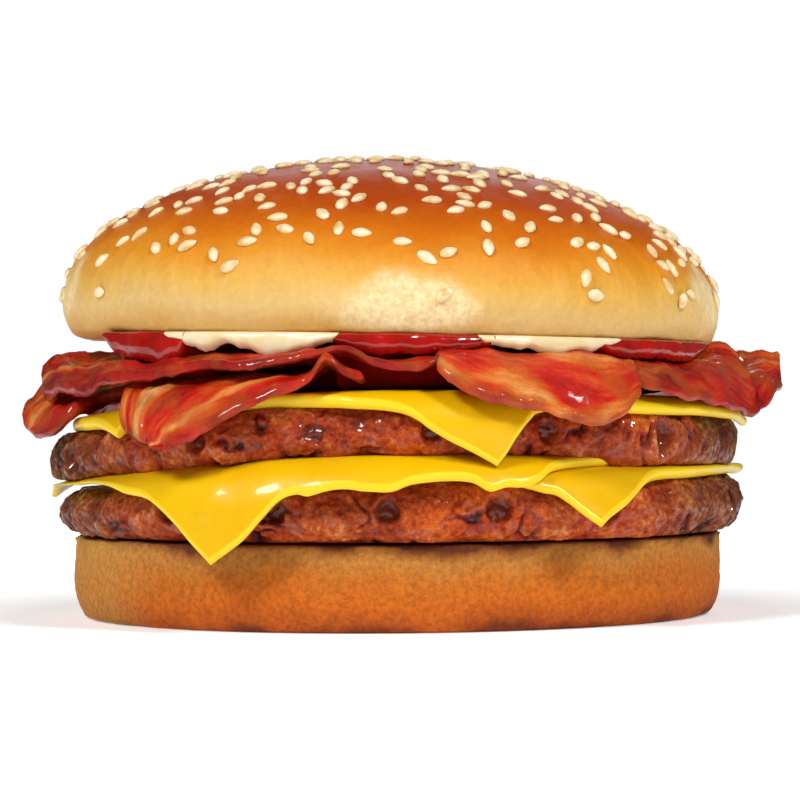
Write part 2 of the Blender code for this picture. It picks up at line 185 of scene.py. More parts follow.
def with_poles(rings):
    """The rings as one list, with the middle of the first and the last one as poles."""
    first = rings[0].mean(axis=0)
    last = rings[-1].mean(axis=0)
    return np.vstack([first, rings.reshape(-1, rings.shape[-1]), last])


def add(tree, kind, inputs=None, stops=(), **settings):
    """Adds a node with its settings, its ramp's stops, and its inputs' values or links."""
    made = tree.nodes.new(kind)
    for label, value in settings.items():
        setattr(made, label, value)
    for k, (place, code) in enumerate(stops):
        elements = made.color_ramp.elements
        stop = elements[k] if k < 2 else elements.new(place)
        stop.position = place
        stop.color = linear(code) if isinstance(code, str) else (code, code, code, 1.0)
    for label, value in (inputs or {}).items():
        if isinstance(value, bpy.types.NodeSocket):
            tree.links.new(value, made.inputs[label])
        else:
            made.inputs[label].default_value = value
    return made


def new_finish(name, sockets):
    """A new material, its tree and its shader, with the shader's constant sockets set."""
    finish = bpy.data.materials.new(name)
    finish.use_nodes = True
    shader = finish.node_tree.nodes["Principled BSDF"]
    for socket, value in sockets.items():
        shader.inputs[socket].default_value = value
    return finish, finish.node_tree, shader


def bread_crumb():
    """Matte browned wheat crumb: small open cells, no gloss, light goes a little way in. Paler to the left as
    painted rim light, darker at the top edge as painted shade under the patty.
    """
    sockets = {
        "Roughness": 0.78, "Specular IOR Level": 0.25, "Subsurface Weight": 0.18,
        "Subsurface Radius": (1.0, 0.5, 0.25), "Subsurface Scale": 0.0022,
    }
    finish, tree, shader = new_finish("baked_bun_side", sockets)
    place = add(tree, "ShaderNodeTexCoord").outputs["Object"]
    axes = add(tree, "ShaderNodeSeparateXYZ", {0: place})
    height = axes.outputs["Z"]
    patches = add(tree, "ShaderNodeTexNoise", {"Vector": place, "Scale": 70.0, "Detail": 3.0}).outputs["Fac"]
    wander = add(tree, "ShaderNodeMath", {0: patches, 1: 0.0085, 2: -0.0042}, operation="MULTIPLY_ADD")
    moved = add(tree, "ShaderNodeMath", {0: height, 1: wander.outputs[0]}, operation="ADD").outputs[0]
    share = add(tree, "ShaderNodeMapRange", {0: moved, 1: 0.0, 2: HEEL_HEIGHT}).outputs[0]
    # The top two stops darken the cut edge: painted shade under the patty.
    stops = [
        (0.0, "86380A"), (0.10, "C05A10"), (0.34, "DA6E12"), (0.62, "D0741C"), (0.84, "CA8636"),
        (0.94, "A86428"), (1.0, "74381A"),
    ]
    browned = add(tree, "ShaderNodeValToRGB", {0: share}, stops).outputs["Color"]
    # Paler towards the left side, mixed towards D69A44: painted rim light.
    uneven = add(
        tree, "ShaderNodeMath", {0: patches, 1: 0.03, 2: axes.outputs["X"]}, operation="MULTIPLY_ADD"
    ).outputs[0]
    side = add(tree, "ShaderNodeMapRange", {0: uneven, 1: -0.022, 2: -0.040, 4: 0.8}).outputs[0]
    painted_rim_light = add(
        tree, "ShaderNodeMix", {0: side, 6: browned, 7: linear("D69A44")}, data_type="RGBA"
    ).outputs[2]
    cells = add(
        tree, "ShaderNodeTexNoise", {"Vector": place, "Scale": 1100.0, "Detail": 5.0, "Roughness": 0.75}
    )
    dust = add(
        tree, "ShaderNodeValToRGB", {0: cells.outputs["Fac"]}, [(0.36, 0.60), (0.60, 1.0)]
    ).outputs["Color"]
    tinted = add(tree, "ShaderNodeMix", {0: 1.0, 6: painted_rim_light, 7: dust}, data_type="RGBA", blend_type="MULTIPLY")
    tree.links.new(tinted.outputs[2], shader.inputs["Base Color"])
    bump = add(tree, "ShaderNodeBump", {"Height": cells.outputs["Fac"], "Strength": 0.75, "Distance": 0.0004})
    tree.links.new(bump.outputs[0], shader.inputs["Normal"])
    return finish


crumb = bread_crumb()
columns = 720
profile = even_rows(HEEL_PROFILE, 120)
azimuths = np.linspace(-180.0, 180.0, columns, endpoint=False)
x, y = polar(azimuths[None, :], profile[:, :1])
z = np.clip(np.repeat(profile[:, 1:], columns, axis=1), 0.0, HEEL_HEIGHT)
skin = np.stack([x, y, z], axis=-1)
slow = rough(skin * np.array([1.0, 1.0, 0.4]), 0.040, 3.0)
side = smooth(0.045, 0.052, profile[:, :1])
dents = DENT_DEPTH * grain(skin, DENT_WIDTH, 31, 3) + PORE_DEPTH * grain(skin, PORE_WIDTH, 32, 2)
edge_crumb = CRUMB_DEPTH * grain(skin, CRUMB_WIDTH, 33, 2) * smooth(0.0110, 0.0140, z)
out = (1.0 + HEEL_UNEVEN * slow) + side * (dents + edge_crumb - 0.0001) / HEEL_RADIUS
skin = np.stack([HEEL_CENTRE_X + x * out, y * out, z], axis=-1)
new_piece("bun_bottom", with_poles(skin), ring_faces(120, columns), crumb, "heel")


# PATTIES
# Two rounds of coarse ground beef, pressed thin and flame grilled: a craggy rim of fused grains with
# crevices, wet with fat, and round docking holes that cut the rim at even steps. The stack sags at the left.
# The crevices, the pits and the left and right ends are painted darker as painted shade, the lumps lighter as
# painted light.
GAP = 0.0003
SAG_LEFT = 0.0052
SAG_RIGHT = 0.0022
CROWN_TIP = 0.0230
LOWER_RADIUS = 0.0596
LOWER_CENTRE_X = 0.0012
LOWER_TOP = 0.0245
LOWER_PITS = (-0.0024, 0.0180)
UPPER_RADIUS = 0.0602
UPPER_CENTRE_X = -0.0004
UPPER_BOTTOM = 0.0280
UPPER_TOP = 0.0369
UPPER_PITS = (-0.0128, 0.0191)
PATTY_RELIEF = 0.0008
PIT_DEPTH = 0.0016
RIM_BULGE = 0.0045
PIT_RADIUS = 0.0022
BULGE_HEIGHT = 0.00085
BULGE_WIDTH = 0.0078
CLOD_HEIGHT = 0.00042
CLOD_WIDTH = 0.0029
BEAD_HEIGHT = 0.00026
BEAD_WIDTH = 0.0021
FIBRE_HEIGHT = 0.00022
FIBRE_WIDTH = 0.0011
CREVICE_DEPTH = 0.0007
CREVICE_SPACING = 0.0095
LOWER_SAG = [(-180, 0.0), (0, 0.0)]
UPPER_SAG = [(-180, 0.0), (22, 0.0), (32, 1.2), (40, 2.0), (66, 2.0), (90, 0.6), (110, 0.0)]


def lean(points):
    """Moves points of the level stack to where they lie in the leaning one."""
    x, y, z = points[..., 0], points[..., 1], points[..., 2]
    left = 0.45 * smooth(0.0146, 0.0246, z) + 0.55 * smooth(0.0246, 0.0292, z)
    right = smooth(0.0252, 0.0292, z)
    sag = np.where(x < 0.0, SAG_LEFT * left, SAG_RIGHT * right) * (x / 0.06) ** 2
    rise = np.clip((z - 0.0390) / 0.0080, 0.0, 1.0)
    return np.stack([x, y, z - sag * (1.0 - rise) - CROWN_TIP * x * rise], axis=-1)


def around(keys, azimuth):
    """Smooth value between (azimuth, value) keys that go once around."""
    turned = (azimuth - keys[0][0]) % 360.0 + keys[0][0]
    found = np.full(np.shape(turned), float(keys[-1][1]))
    for (a, low), (b, high) in zip(keys, keys[1:] + [(keys[0][0] + 360.0, keys[0][1])]):
        found = np.where((turned >= a) & (turned <= b), low + (high - low) * smooth(a, b, turned), found)
    return found


def nearest(points, size, salt):
    """Distance to the nearest of points strewn one to a cell of that size, in sizes."""
    at = points / size
    cell = np.floor(at)
    near = np.full(points.shape[:-1], 9.0)
    for k in range(27):
        offset = np.array([k % 3 - 1, k // 3 % 3 - 1, k // 9 - 1])
        centre = cell + offset + 0.5 + 0.45 * lattice(cell + offset, salt)
        near = np.minimum(near, np.sqrt(np.sum((at - centre) ** 2, axis=-1)))
    return near


def pit_azimuths(radius, start, pitch):
    """A row of pits at even steps across, seen from the front, the back and both sides."""
    found = []
    for k in range(-4, 5):
        across = start + k * pitch
        if abs(across) < 0.80 * radius:
            angle = math.degrees(math.asin(across / radius))
            found += [angle, 180.0 - angle]
        if abs(across) < 0.52 * radius:
            found += [90.0 + angle, angle - 90.0]
    return sorted((a + 180.0) % 360.0 - 180.0 for a in found)


def grilled_beef():
    """Browned ground beef: brown crust, red-brown where fat basted it, small wet glints on the grains,
    painted shade in the crevices, the pits and at both ends, painted light on the lumps.
    """
    sockets = {
        "Roughness": 0.55, "Specular IOR Level": 0.15, "Coat Roughness": 0.12, "Subsurface Weight": 0.05,
        "Subsurface Radius": (1.0, 0.3, 0.2), "Subsurface Scale": 0.0012,
    }
    finish, tree, shader = new_finish("grilled_ground_beef", sockets)
    place = add(tree, "ShaderNodeTexCoord").outputs["Object"]
    relief_shading = add(tree, "ShaderNodeAttribute", attribute_name="relief_shading").outputs["Fac"]
    pit = add(tree, "ShaderNodeAttribute", attribute_name="pit").outputs["Fac"]
    fine = add(
        tree, "ShaderNodeTexNoise", {"Vector": place, "Scale": 1100.0, "Detail": 4.0, "Roughness": 0.7}
    )
    speck = add(tree, "ShaderNodeMath", {0: fine.outputs["Fac"], 1: 1.2, 2: -0.6}, operation="MULTIPLY_ADD")
    level = add(tree, "ShaderNodeMath", {0: relief_shading, 1: speck.outputs[0]}, operation="ADD").outputs[0]
    # The relief ramp is painted shade in the crevices and painted light on the lumps.
    stops = [(0.0, "240803"), (0.26, "661C08"), (0.50, "963414"), (0.74, "B04E22"), (1.0, "D28A50")]
    crust = add(tree, "ShaderNodeValToRGB", {0: level}, stops).outputs["Color"]
    red_stops = [(0.0, "2E0602"), (0.26, "7C1A08"), (0.52, "A8360E"), (0.80, "CC5E18"), (1.0, "E89030")]
    basted = add(tree, "ShaderNodeValToRGB", {0: level}, red_stops).outputs["Color"]
    # Darker browns at the left and right ends: painted shade.
    shaded_end_stops = [(0.0, "180702"), (0.30, "3C1C0C"), (0.60, "663418"), (1.0, "AC7A4C")]
    shaded_ends = add(tree, "ShaderNodeValToRGB", {0: level}, shaded_end_stops).outputs["Color"]
    wide = add(tree, "ShaderNodeTexNoise", {"Vector": place, "Scale": 95.0, "Detail": 3.0, "Roughness": 0.6})
    where = add(
        tree, "ShaderNodeValToRGB", {0: wide.outputs["Fac"]}, [(0.46, 0.0), (0.60, 1.0)]
    ).outputs["Color"]
    both = add(tree, "ShaderNodeMix", {0: where, 6: crust, 7: basted}, data_type="RGBA").outputs[2]
    across = add(tree, "ShaderNodeSeparateXYZ", {0: place}).outputs["X"]
    outer = add(tree, "ShaderNodeMath", {0: across}, operation="ABSOLUTE").outputs[0]
    wander = add(
        tree, "ShaderNodeMath", {0: wide.outputs["Fac"], 1: 0.03, 2: outer}, operation="MULTIPLY_ADD"
    )
    ends = add(tree, "ShaderNodeMapRange", {0: wander.outputs[0], 1: 0.056, 2: 0.071, 4: 0.95}).outputs[0]
    browned = add(tree, "ShaderNodeMix", {0: ends, 6: both, 7: shaded_ends}, data_type="RGBA").outputs[2]
    # Darker red in the docking pits: painted shade.
    pit_shade = add(tree, "ShaderNodeMath", {0: pit, 1: 0.8}, operation="MULTIPLY").outputs[0]
    dark = add(
        tree, "ShaderNodeMix", {0: pit_shade, 6: browned, 7: linear("5E1408")}, data_type="RGBA"
    ).outputs[2]
    tree.links.new(dark, shader.inputs["Base Color"])
    wet = add(tree, "ShaderNodeTexNoise", {"Vector": place, "Scale": 560.0, "Detail": 3.0}).outputs["Fac"]
    wetness = add(tree, "ShaderNodeMath", {0: pit, 1: 0.24, 2: wet}, operation="MULTIPLY_ADD").outputs[0]
    film = add(tree, "ShaderNodeMapRange", {0: wetness, 1: 0.47, 2: 0.62}).outputs[0]
    tree.links.new(film, shader.inputs["Coat Weight"])
    bump = add(tree, "ShaderNodeBump", {"Height": fine.outputs["Fac"], "Strength": 0.9, "Distance": 0.0005})
    tree.links.new(bump.outputs[0], shader.inputs["Normal"])
    return finish


beef = grilled_beef()


def make_patty(name, node_name, size, pits, sag, salt):
    """Size is the radius, the centre's X, the bottom and the top. Pits are azimuths. Sag is how far the
    lower rim hangs, in mm, as (azimuth, sag)."""
    radius, centre_x, bottom, top = size
    thick = top - bottom
    columns = 1120
    azimuths = np.linspace(-180.0, 180.0, columns, endpoint=False)
    turns = np.radians(np.linspace(-90.0, 90.0, 58))
    side = np.stack([radius - RIM_BULGE + RIM_BULGE * np.cos(turns), (1.0 + np.sin(turns)) / 2], axis=1)
    inner = np.array([0.020, 0.038, 0.050, 0.0535])
    flat_low = np.stack([inner, np.zeros(4)], axis=1)
    flat_high = np.stack([inner[::-1], np.ones(4)], axis=1)
    profile = np.vstack([flat_low, side, flat_high])
    lean_out = np.concatenate([np.zeros(4), np.cos(turns), np.zeros(4)])
    lean_up = np.concatenate([-np.ones(4), np.sin(turns), np.ones(4)])
    x, y = polar(azimuths[None, :], profile[:, :1])
    share = np.repeat(profile[:, 1:], columns, axis=1)
    base = np.stack([x, y, bottom + share * thick], axis=-1)

    slow = PATTY_RELIEF * rough(base, 0.009, salt)
    bent = base + 0.0014 * np.stack([grain(base, 0.0060, int(salt) * 7 + k) for k in range(3)], axis=-1)
    where = smooth(-0.25, 0.35, grain(base, 0.0130, int(salt) + 60, 2))
    big = BULGE_HEIGHT * grain(bent, BULGE_WIDTH, int(salt) + 40, 2)
    small = CLOD_HEIGHT * grain(bent, CLOD_WIDTH, int(salt) + 50, 3) * (0.5 + 0.5 * where)
    beads = BEAD_HEIGHT * (0.5 - nearest(bent, BEAD_WIDTH, int(salt) + 45)) * where
    fibre = FIBRE_HEIGHT * grain(base, FIBRE_WIDTH, int(salt) + 70, 3)
    valley = 1.0 - smooth(0.0, 0.13, np.abs(grain(bent, CREVICE_SPACING, int(salt) + 30, 3)))
    cut = -CREVICE_DEPTH * valley * smooth(0.0, 0.45, grain(base, 0.0090, int(salt) + 35))
    lift = slow + big + small + beads + fibre + cut

    hollow = np.zeros_like(share)
    rim = np.zeros_like(share)
    for k, pit in enumerate(pits):
        across = np.radians((azimuths - pit + 180.0) % 360.0 - 180.0) * radius
        upward = (share - 0.52) * thick
        wide = PIT_RADIUS + 0.0004 * math.sin(7.0 * k)
        ring = np.sqrt((across[None, :] / wide) ** 2 + (upward / (wide * 1.12)) ** 2)
        ring += 0.16 * grain(base, 0.0016, 90 + k)
        hollow = np.maximum(hollow, 1.0 - smooth(0.78, 1.06, ring))
        rim = np.maximum(rim, np.exp(-(((ring - 1.18) / 0.16) ** 2)))
    wall = np.where(np.abs(lean_up)[:, None] < 0.995, 1.0, 0.0)
    ribs = 0.0005 * grain(base * np.array([1.0, 1.0, 0.35]), 0.0012, int(salt) + 80, 2)
    lift = (lift * (1.0 - 0.7 * hollow) + 0.00025 * rim - (PIT_DEPTH - ribs) * hollow) * wall
    edge = np.minimum(share, 1.0 - share) * thick
    lift = np.where(edge < 0.0004, np.minimum(lift, 0.0), lift)
    r = np.minimum(profile[:, :1] + lift * lean_out[:, None], radius + 0.0010)
    up = lift * lean_up[:, None] * smooth(0.0, 0.35, lean_out)[:, None]
    x, y = polar(azimuths[None, :], r)
    z = np.clip(base[..., 2] + up, bottom + 0.00005, top - 0.00005)
    hanging = (1.0 - smooth(0.0, 0.55, share)) * smooth(0.050, 0.0535, r)
    z = z - 0.001 * around(sag, azimuths)[None, :] * hanging
    skin = lean(np.stack([centre_x + x, y, z], axis=-1))
    # Relief for the finish, which paints it as painted shade in the crevices and painted light on the lumps.
    relief_shading = np.clip(0.60 + (big * 0.35 + small * 0.6 + beads + fibre * 0.9 + cut * 1.2) / 0.0013, 0.0, 1.0)
    values = {"relief_shading": relief_shading, "pit": hollow}
    values = {k: np.concatenate([[v[0, 0]], v.ravel(), [v[-1, 0]]]) for k, v in values.items()}
    faces = ring_faces(len(profile), columns)
    return new_piece(name, with_poles(skin), faces, beef, node_name, values)


lower_pits = pit_azimuths(LOWER_RADIUS, *LOWER_PITS)
upper_pits = pit_azimuths(UPPER_RADIUS, *UPPER_PITS)
lower_size = (LOWER_RADIUS, LOWER_CENTRE_X, HEEL_HEIGHT + GAP, LOWER_TOP)
upper_size = (UPPER_RADIUS, UPPER_CENTRE_X, UPPER_BOTTOM, UPPER_TOP)
make_patty("beef_lower", "patty_lower", lower_size, lower_pits, LOWER_SAG, 1.0)
make_patty("beef_upper", "patty_upper", upper_size, upper_pits, UPPER_SAG, 5.0)


# CHEESE
# Square slices of processed cheese, laid cold on hot beef: two turned against each other on the lower patty,
# one on the upper. They have gone soft, so they roll over the rim and their corners hang in smooth tongues.
CHEESE_THICKNESS = 0.0019
FOLD_RADIUS = 0.0046
RIPPLE_HEIGHT = 0.0008
RIPPLE_LENGTH = 0.016
LOWER_COVER = (LOWER_CENTRE_X, LOWER_TOP, 0.0560)
LOWER_DROOP = [(-180, 40), (-102, 46), (-60, 62), (-30, 88), (0, 76), (30, 58), (70, 24), (105, 8), (150, 30)]
UPPER_COVER = (UPPER_CENTRE_X, UPPER_TOP, 0.0566)
UPPER_DROOP = [(-180, 50), (-100, 62), (-50, 84), (-15, 86), (16, 88), (50, 74), (97, 66), (140, 50)]


def over_rim(cover, droop, x, y, lift, middle):
    """Places points of a sheet: x, y where it lies unrolled, lift above the patty, middle its mean lift."""
    centre_x, top, fold_start = cover
    azimuth = np.degrees(np.arctan2(x, -y))
    along = np.hypot(x, y)
    limit = np.radians(around(droop, azimuth))
    past = np.maximum(along - fold_start, 0.0)
    bend = FOLD_RADIUS + middle
    turn = np.minimum(limit, past / bend)
    rest = past - turn * bend
    radius = np.where(
        past > 0.0, fold_start + (FOLD_RADIUS + lift) * np.sin(turn) + rest * np.cos(turn), along
    )
    z = top - FOLD_RADIUS + (FOLD_RADIUS + lift) * np.cos(turn) - rest * np.sin(turn)
    px, py = polar(azimuth, radius)
    return lean(np.stack([centre_x + px, py, z], axis=-1))


def melted_cheese():
    """Processed cheese: smooth, dense and waxy, light glows through its thin edges, a soft wet gloss. Its
    rounded rim is painted lighter yellow as a painted highlight.
    """
    sockets = {
        "Roughness": 0.40, "Specular IOR Level": 0.2, "Coat Weight": 0.30, "Coat Roughness": 0.10,
        "Subsurface Weight": 0.30, "Subsurface Radius": (1.0, 0.6, 0.08), "Subsurface Scale": 0.0025,
    }
    finish, tree, shader = new_finish("melted_cheese_slice", sockets)
    place = add(tree, "ShaderNodeTexCoord").outputs["Object"]
    rim = add(tree, "ShaderNodeAttribute", attribute_name="rim").outputs["Fac"]
    cloud = add(tree, "ShaderNodeTexNoise", {"Vector": place, "Scale": 60.0, "Detail": 2.0}).outputs["Fac"]
    body = add(tree, "ShaderNodeValToRGB", {0: cloud}, [(0.35, "E3B000"), (0.65, "E8BA00")]).outputs["Color"]
    # The rim is mixed towards F2CC20: a painted highlight on the slice's edge.
    edge = add(tree, "ShaderNodeMix", {0: rim, 6: body, 7: linear("F2CC20")}, data_type="RGBA").outputs[2]
    tree.links.new(edge, shader.inputs["Base Color"])
    ripple = add(tree, "ShaderNodeTexNoise", {"Vector": place, "Scale": 160.0, "Detail": 3.0}).outputs["Fac"]
    bump = add(tree, "ShaderNodeBump", {"Height": ripple, "Strength": 0.25, "Distance": 0.0006})
    tree.links.new(bump.outputs[0], shader.inputs["Normal"])
    return finish


cheese = melted_cheese()


def slice_edge(sides, count):
    """Points of a slice's edge. Each side runs from its corner through places on the edge, as (azimuth,
    distance), up to the next side's corner."""
    found = []
    for side, after in zip(sides, sides[1:] + sides[:1]):
        flat = [polar(a, r) for a, r in side + after[:1]]
        found.append(even_rows(flat, count + 1)[:-1])
    return np.vstack(found)


def make_cheese(name, node_name, cover, droop, sides, low, salt):
    """Rings of the slice's own outline, from the middle of its top over its rounded edge to below."""
    middle = low + CHEESE_THICKNESS / 2
    edge = slice_edge(sides, 130)
    count = len(edge)
    reach = np.hypot(edge[:, 0], edge[:, 1])
    creases = [side[0][0] for side in sides]
    ahead = edge / reach[:, None]
    round_off = np.radians(np.linspace(90.0, -90.0, 11))
    half = CHEESE_THICKNESS / 2
    shares = np.concatenate([np.linspace(0.02, 0.80, 12), np.linspace(0.82, 1.0, 44)[:-1]])
    rows = []
    for share in shares:
        rows.append((share, 0.0, half, 0.0))
    # The rounded edge rows carry rim 1, which the finish paints lighter: a painted highlight.
    for turn in round_off:
        rows.append((1.0, half * math.cos(turn), half * math.sin(turn), 1.0))
    for share in shares[::-1]:
        rows.append((share, 0.0, -half, 0.0))
    rings = []
    rims = []
    for share, out, up, rim in rows:
        along = (reach - half) * share + out
        x, y = ahead[:, 0] * along, ahead[:, 1] * along
        flat = np.stack([x, y, np.zeros(count)], axis=-1)
        hang = smooth(0.057, 0.066, along)
        soft = (
            RIPPLE_HEIGHT * grain(flat, RIPPLE_LENGTH, salt, 2) + 0.00012 * grain(flat, 0.004, salt + 5, 2)
        ) * hang
        for crease in creases:
            aside = np.radians((np.degrees(np.arctan2(x, -y)) - crease + 180.0) % 360.0 - 180.0) * along
            soft = soft + 0.0002 * np.exp(-((aside / 0.0022) ** 2)) * hang
        settle = 0.0004 * (1.0 - hang) * (1.0 if up < 0.0 else 0.0)
        thin = up * (1.0 - 0.32 * smooth(0.058, 0.068, along))
        rings.append(over_rim(cover, droop, x, y, middle + thin + soft - settle, middle))
        rims.append(np.full(count, rim))
    rings = np.array(rings)
    values = {"rim": np.concatenate([[0.0], np.array(rims).ravel(), [0.0]])}
    faces = ring_faces(len(rows), count)
    return new_piece(name, with_poles(rings), faces, cheese, node_name, values)


right_slice = [
    [
        (29.1, 0.0693), (31.2, 0.0676), (34.8, 0.0654), (37.4, 0.0636), (40.6, 0.0614), (44.1, 0.0598),
        (47.9, 0.0591), (57.7, 0.0587), (72.2, 0.0578), (90.0, 0.0592),
    ],
    [(105.0, 0.0640), (155.0, 0.0460)],
    [(206.0, 0.0560), (255.0, 0.0470)],
    [
        (305.0, 0.0540), (340.0, 0.0530), (5.0, 0.0560), (17.0, 0.0600), (21.5, 0.0623), (23.9, 0.0631),
        (27.1, 0.0669),
    ],
]
left_slice = [
    [
        (-28.3, 0.0772), (-25.7, 0.0752), (-23.1, 0.0731), (-20.4, 0.0696), (-17.8, 0.0665), (-15.6, 0.0656),
        (-13.6, 0.0660), (-10.7, 0.0652), (-8.1, 0.0650), (-5.2, 0.0654), (-1.5, 0.0655), (1.5, 0.0642),
        (6.3, 0.0634), (10.1, 0.0637), (12.6, 0.0655), (15.2, 0.0648), (17.6, 0.0649), (20.5, 0.0638),
        (24.0, 0.0608), (32.0, 0.0580),
    ],
    [(47.0, 0.0560), (102.0, 0.0400)],
    [(158.0, 0.0540), (216.0, 0.0458)],
    [
        (258.0, 0.0662), (265.0, 0.0630), (275.0, 0.0612), (285.0, 0.0608), (294.6, 0.0612), (298.6, 0.0608),
        (307.7, 0.0626), (313.7, 0.0645), (318.1, 0.0654), (320.4, 0.0664), (324.8, 0.0701), (328.4, 0.0740),
    ],
]
upper_slice = [
    [
        (15.4, 0.0712), (16.9, 0.0691), (18.5, 0.0664), (20.5, 0.0639), (23.1, 0.0619), (29.9, 0.0611),
        (38.3, 0.0612), (46.5, 0.0613), (61.6, 0.0613), (74.0, 0.0618),
    ],
    [(90.0, 0.0632), (140.0, 0.0440)],
    [(202.0, 0.0560), (235.0, 0.0500), (262.0, 0.0530), (283.0, 0.0565), (297.0, 0.0590), (304.6, 0.0601)],
    [
        (313.4, 0.0634), (314.6, 0.0606), (318.0, 0.0588), (325.0, 0.0576), (335.0, 0.0576), (345.0, 0.0587),
        (350.7, 0.0599), (354.2, 0.0609), (357.9, 0.0614), (1.6, 0.0623), (4.1, 0.0639), (5.5, 0.0652),
        (8.4, 0.0671), (12.1, 0.0691),
    ],
]
second_level = 2 * GAP + CHEESE_THICKNESS
make_cheese("slice_lower_right", "cheese_lower_right", LOWER_COVER, LOWER_DROOP, right_slice, GAP, 12)
make_cheese("slice_lower_left", "cheese_lower_left", LOWER_COVER, LOWER_DROOP, left_slice, second_level, 14)
make_cheese("slice_upper", "cheese_upper", UPPER_COVER, UPPER_DROOP, upper_slice, GAP, 16)


# BACON
# Cured streaky pork belly, sliced thin and fried until it crinkled: dark red lean and amber fat run along
# each strip in streaks, its long edges have shrunk into raised rims, and it is glossy with its own fat.
BACON_THICKNESS = 0.0016
BACON_COVER = (UPPER_CENTRE_X, UPPER_TOP, 0.0566)
BACON_DROOP = [
    (-180, 50), (-100, 48), (-50, 84), (-15, 86), (16, 88), (50, 70), (76, 60), (87, 6), (108, 6), (140, 50),
]
BACON_LEVEL_1 = 0.0025
BACON_LEVEL_2 = 0.0051
BACON_STEP = 0.00055
CREST_REACH = 0.0560
RIDGE_LENGTH = 0.0072
RIDGE_HEIGHT = 0.00055
EDGE_CURL = 0.0006
WAVE_LENGTH = 0.0190


def fried_bacon():
    """Fried bacon: translucent amber fat and deep red lean, blistered, under a thin film of hot fat."""
    sockets = {
        "Roughness": 0.42, "Specular IOR Level": 0.2, "Coat Roughness": 0.10, "Coat IOR": 1.4,
        "Subsurface Weight": 0.12, "Subsurface Radius": (1.0, 0.25, 0.12), "Subsurface Scale": 0.0016,
    }
    finish, tree, shader = new_finish("fried_streaky_bacon", sockets)
    fat = add(tree, "ShaderNodeAttribute", attribute_name="fat").outputs["Fac"]
    crisp = add(tree, "ShaderNodeAttribute", attribute_name="crisp").outputs["Fac"]
    along = add(tree, "ShaderNodeUVMap", uv_map="UVMap").outputs["UV"]
    drawn = add(tree, "ShaderNodeMapping", {"Vector": along, "Scale": (0.45, 2.4, 1.0)}).outputs["Vector"]
    fibre = add(tree, "ShaderNodeTexNoise", {"Vector": drawn, "Scale": 3.0, "Detail": 6.0, "Roughness": 0.66})
    shift = add(tree, "ShaderNodeMath", {0: fibre.outputs["Fac"], 1: 0.9, 2: -0.45}, operation="MULTIPLY_ADD")
    level = add(tree, "ShaderNodeMath", {0: fat, 1: shift.outputs[0]}, operation="ADD").outputs[0]
    stops = [
        (0.0, "640604"), (0.20, "9E0E06"), (0.38, "C81C0A"), (0.52, "D64414"), (0.68, "DE7A2C"),
        (1.0, "ECB674"),
    ]
    meat = add(tree, "ShaderNodeValToRGB", {0: level}, stops).outputs["Color"]
    place = add(tree, "ShaderNodeTexCoord").outputs["Object"]
    wide = add(tree, "ShaderNodeTexNoise", {"Vector": place, "Scale": 150.0, "Detail": 3.0, "Roughness": 0.6})
    toast = add(tree, "ShaderNodeMapRange", {0: wide.outputs["Fac"], 1: 0.46, 2: 0.62, 4: 0.60}).outputs[0]
    brown = add(tree, "ShaderNodeMix", {0: toast, 6: meat, 7: linear("B4500E")}, data_type="RGBA").outputs[2]
    dark = add(tree, "ShaderNodeMix", {0: crisp, 6: brown, 7: linear("6E0E06")}, data_type="RGBA").outputs[2]
    tree.links.new(dark, shader.inputs["Base Color"])
    film = add(
        tree, "ShaderNodeMapRange", {0: fibre.outputs["Fac"], 1: 0.38, 2: 0.58, 3: 0.2, 4: 0.9}
    ).outputs[0]
    tree.links.new(film, shader.inputs["Coat Weight"])
    blister = add(
        tree, "ShaderNodeTexNoise", {"Vector": place, "Scale": 700.0, "Detail": 5.0, "Roughness": 0.72}
    )
    both = add(tree, "ShaderNodeMath", {0: fibre.outputs["Fac"], 1: blister.outputs["Fac"]}, operation="ADD")
    bump = add(tree, "ShaderNodeBump", {"Height": both.outputs[0], "Strength": 0.8, "Distance": 0.0006})
    tree.links.new(bump.outputs[0], shader.inputs["Normal"])
    return finish


bacon = fried_bacon()


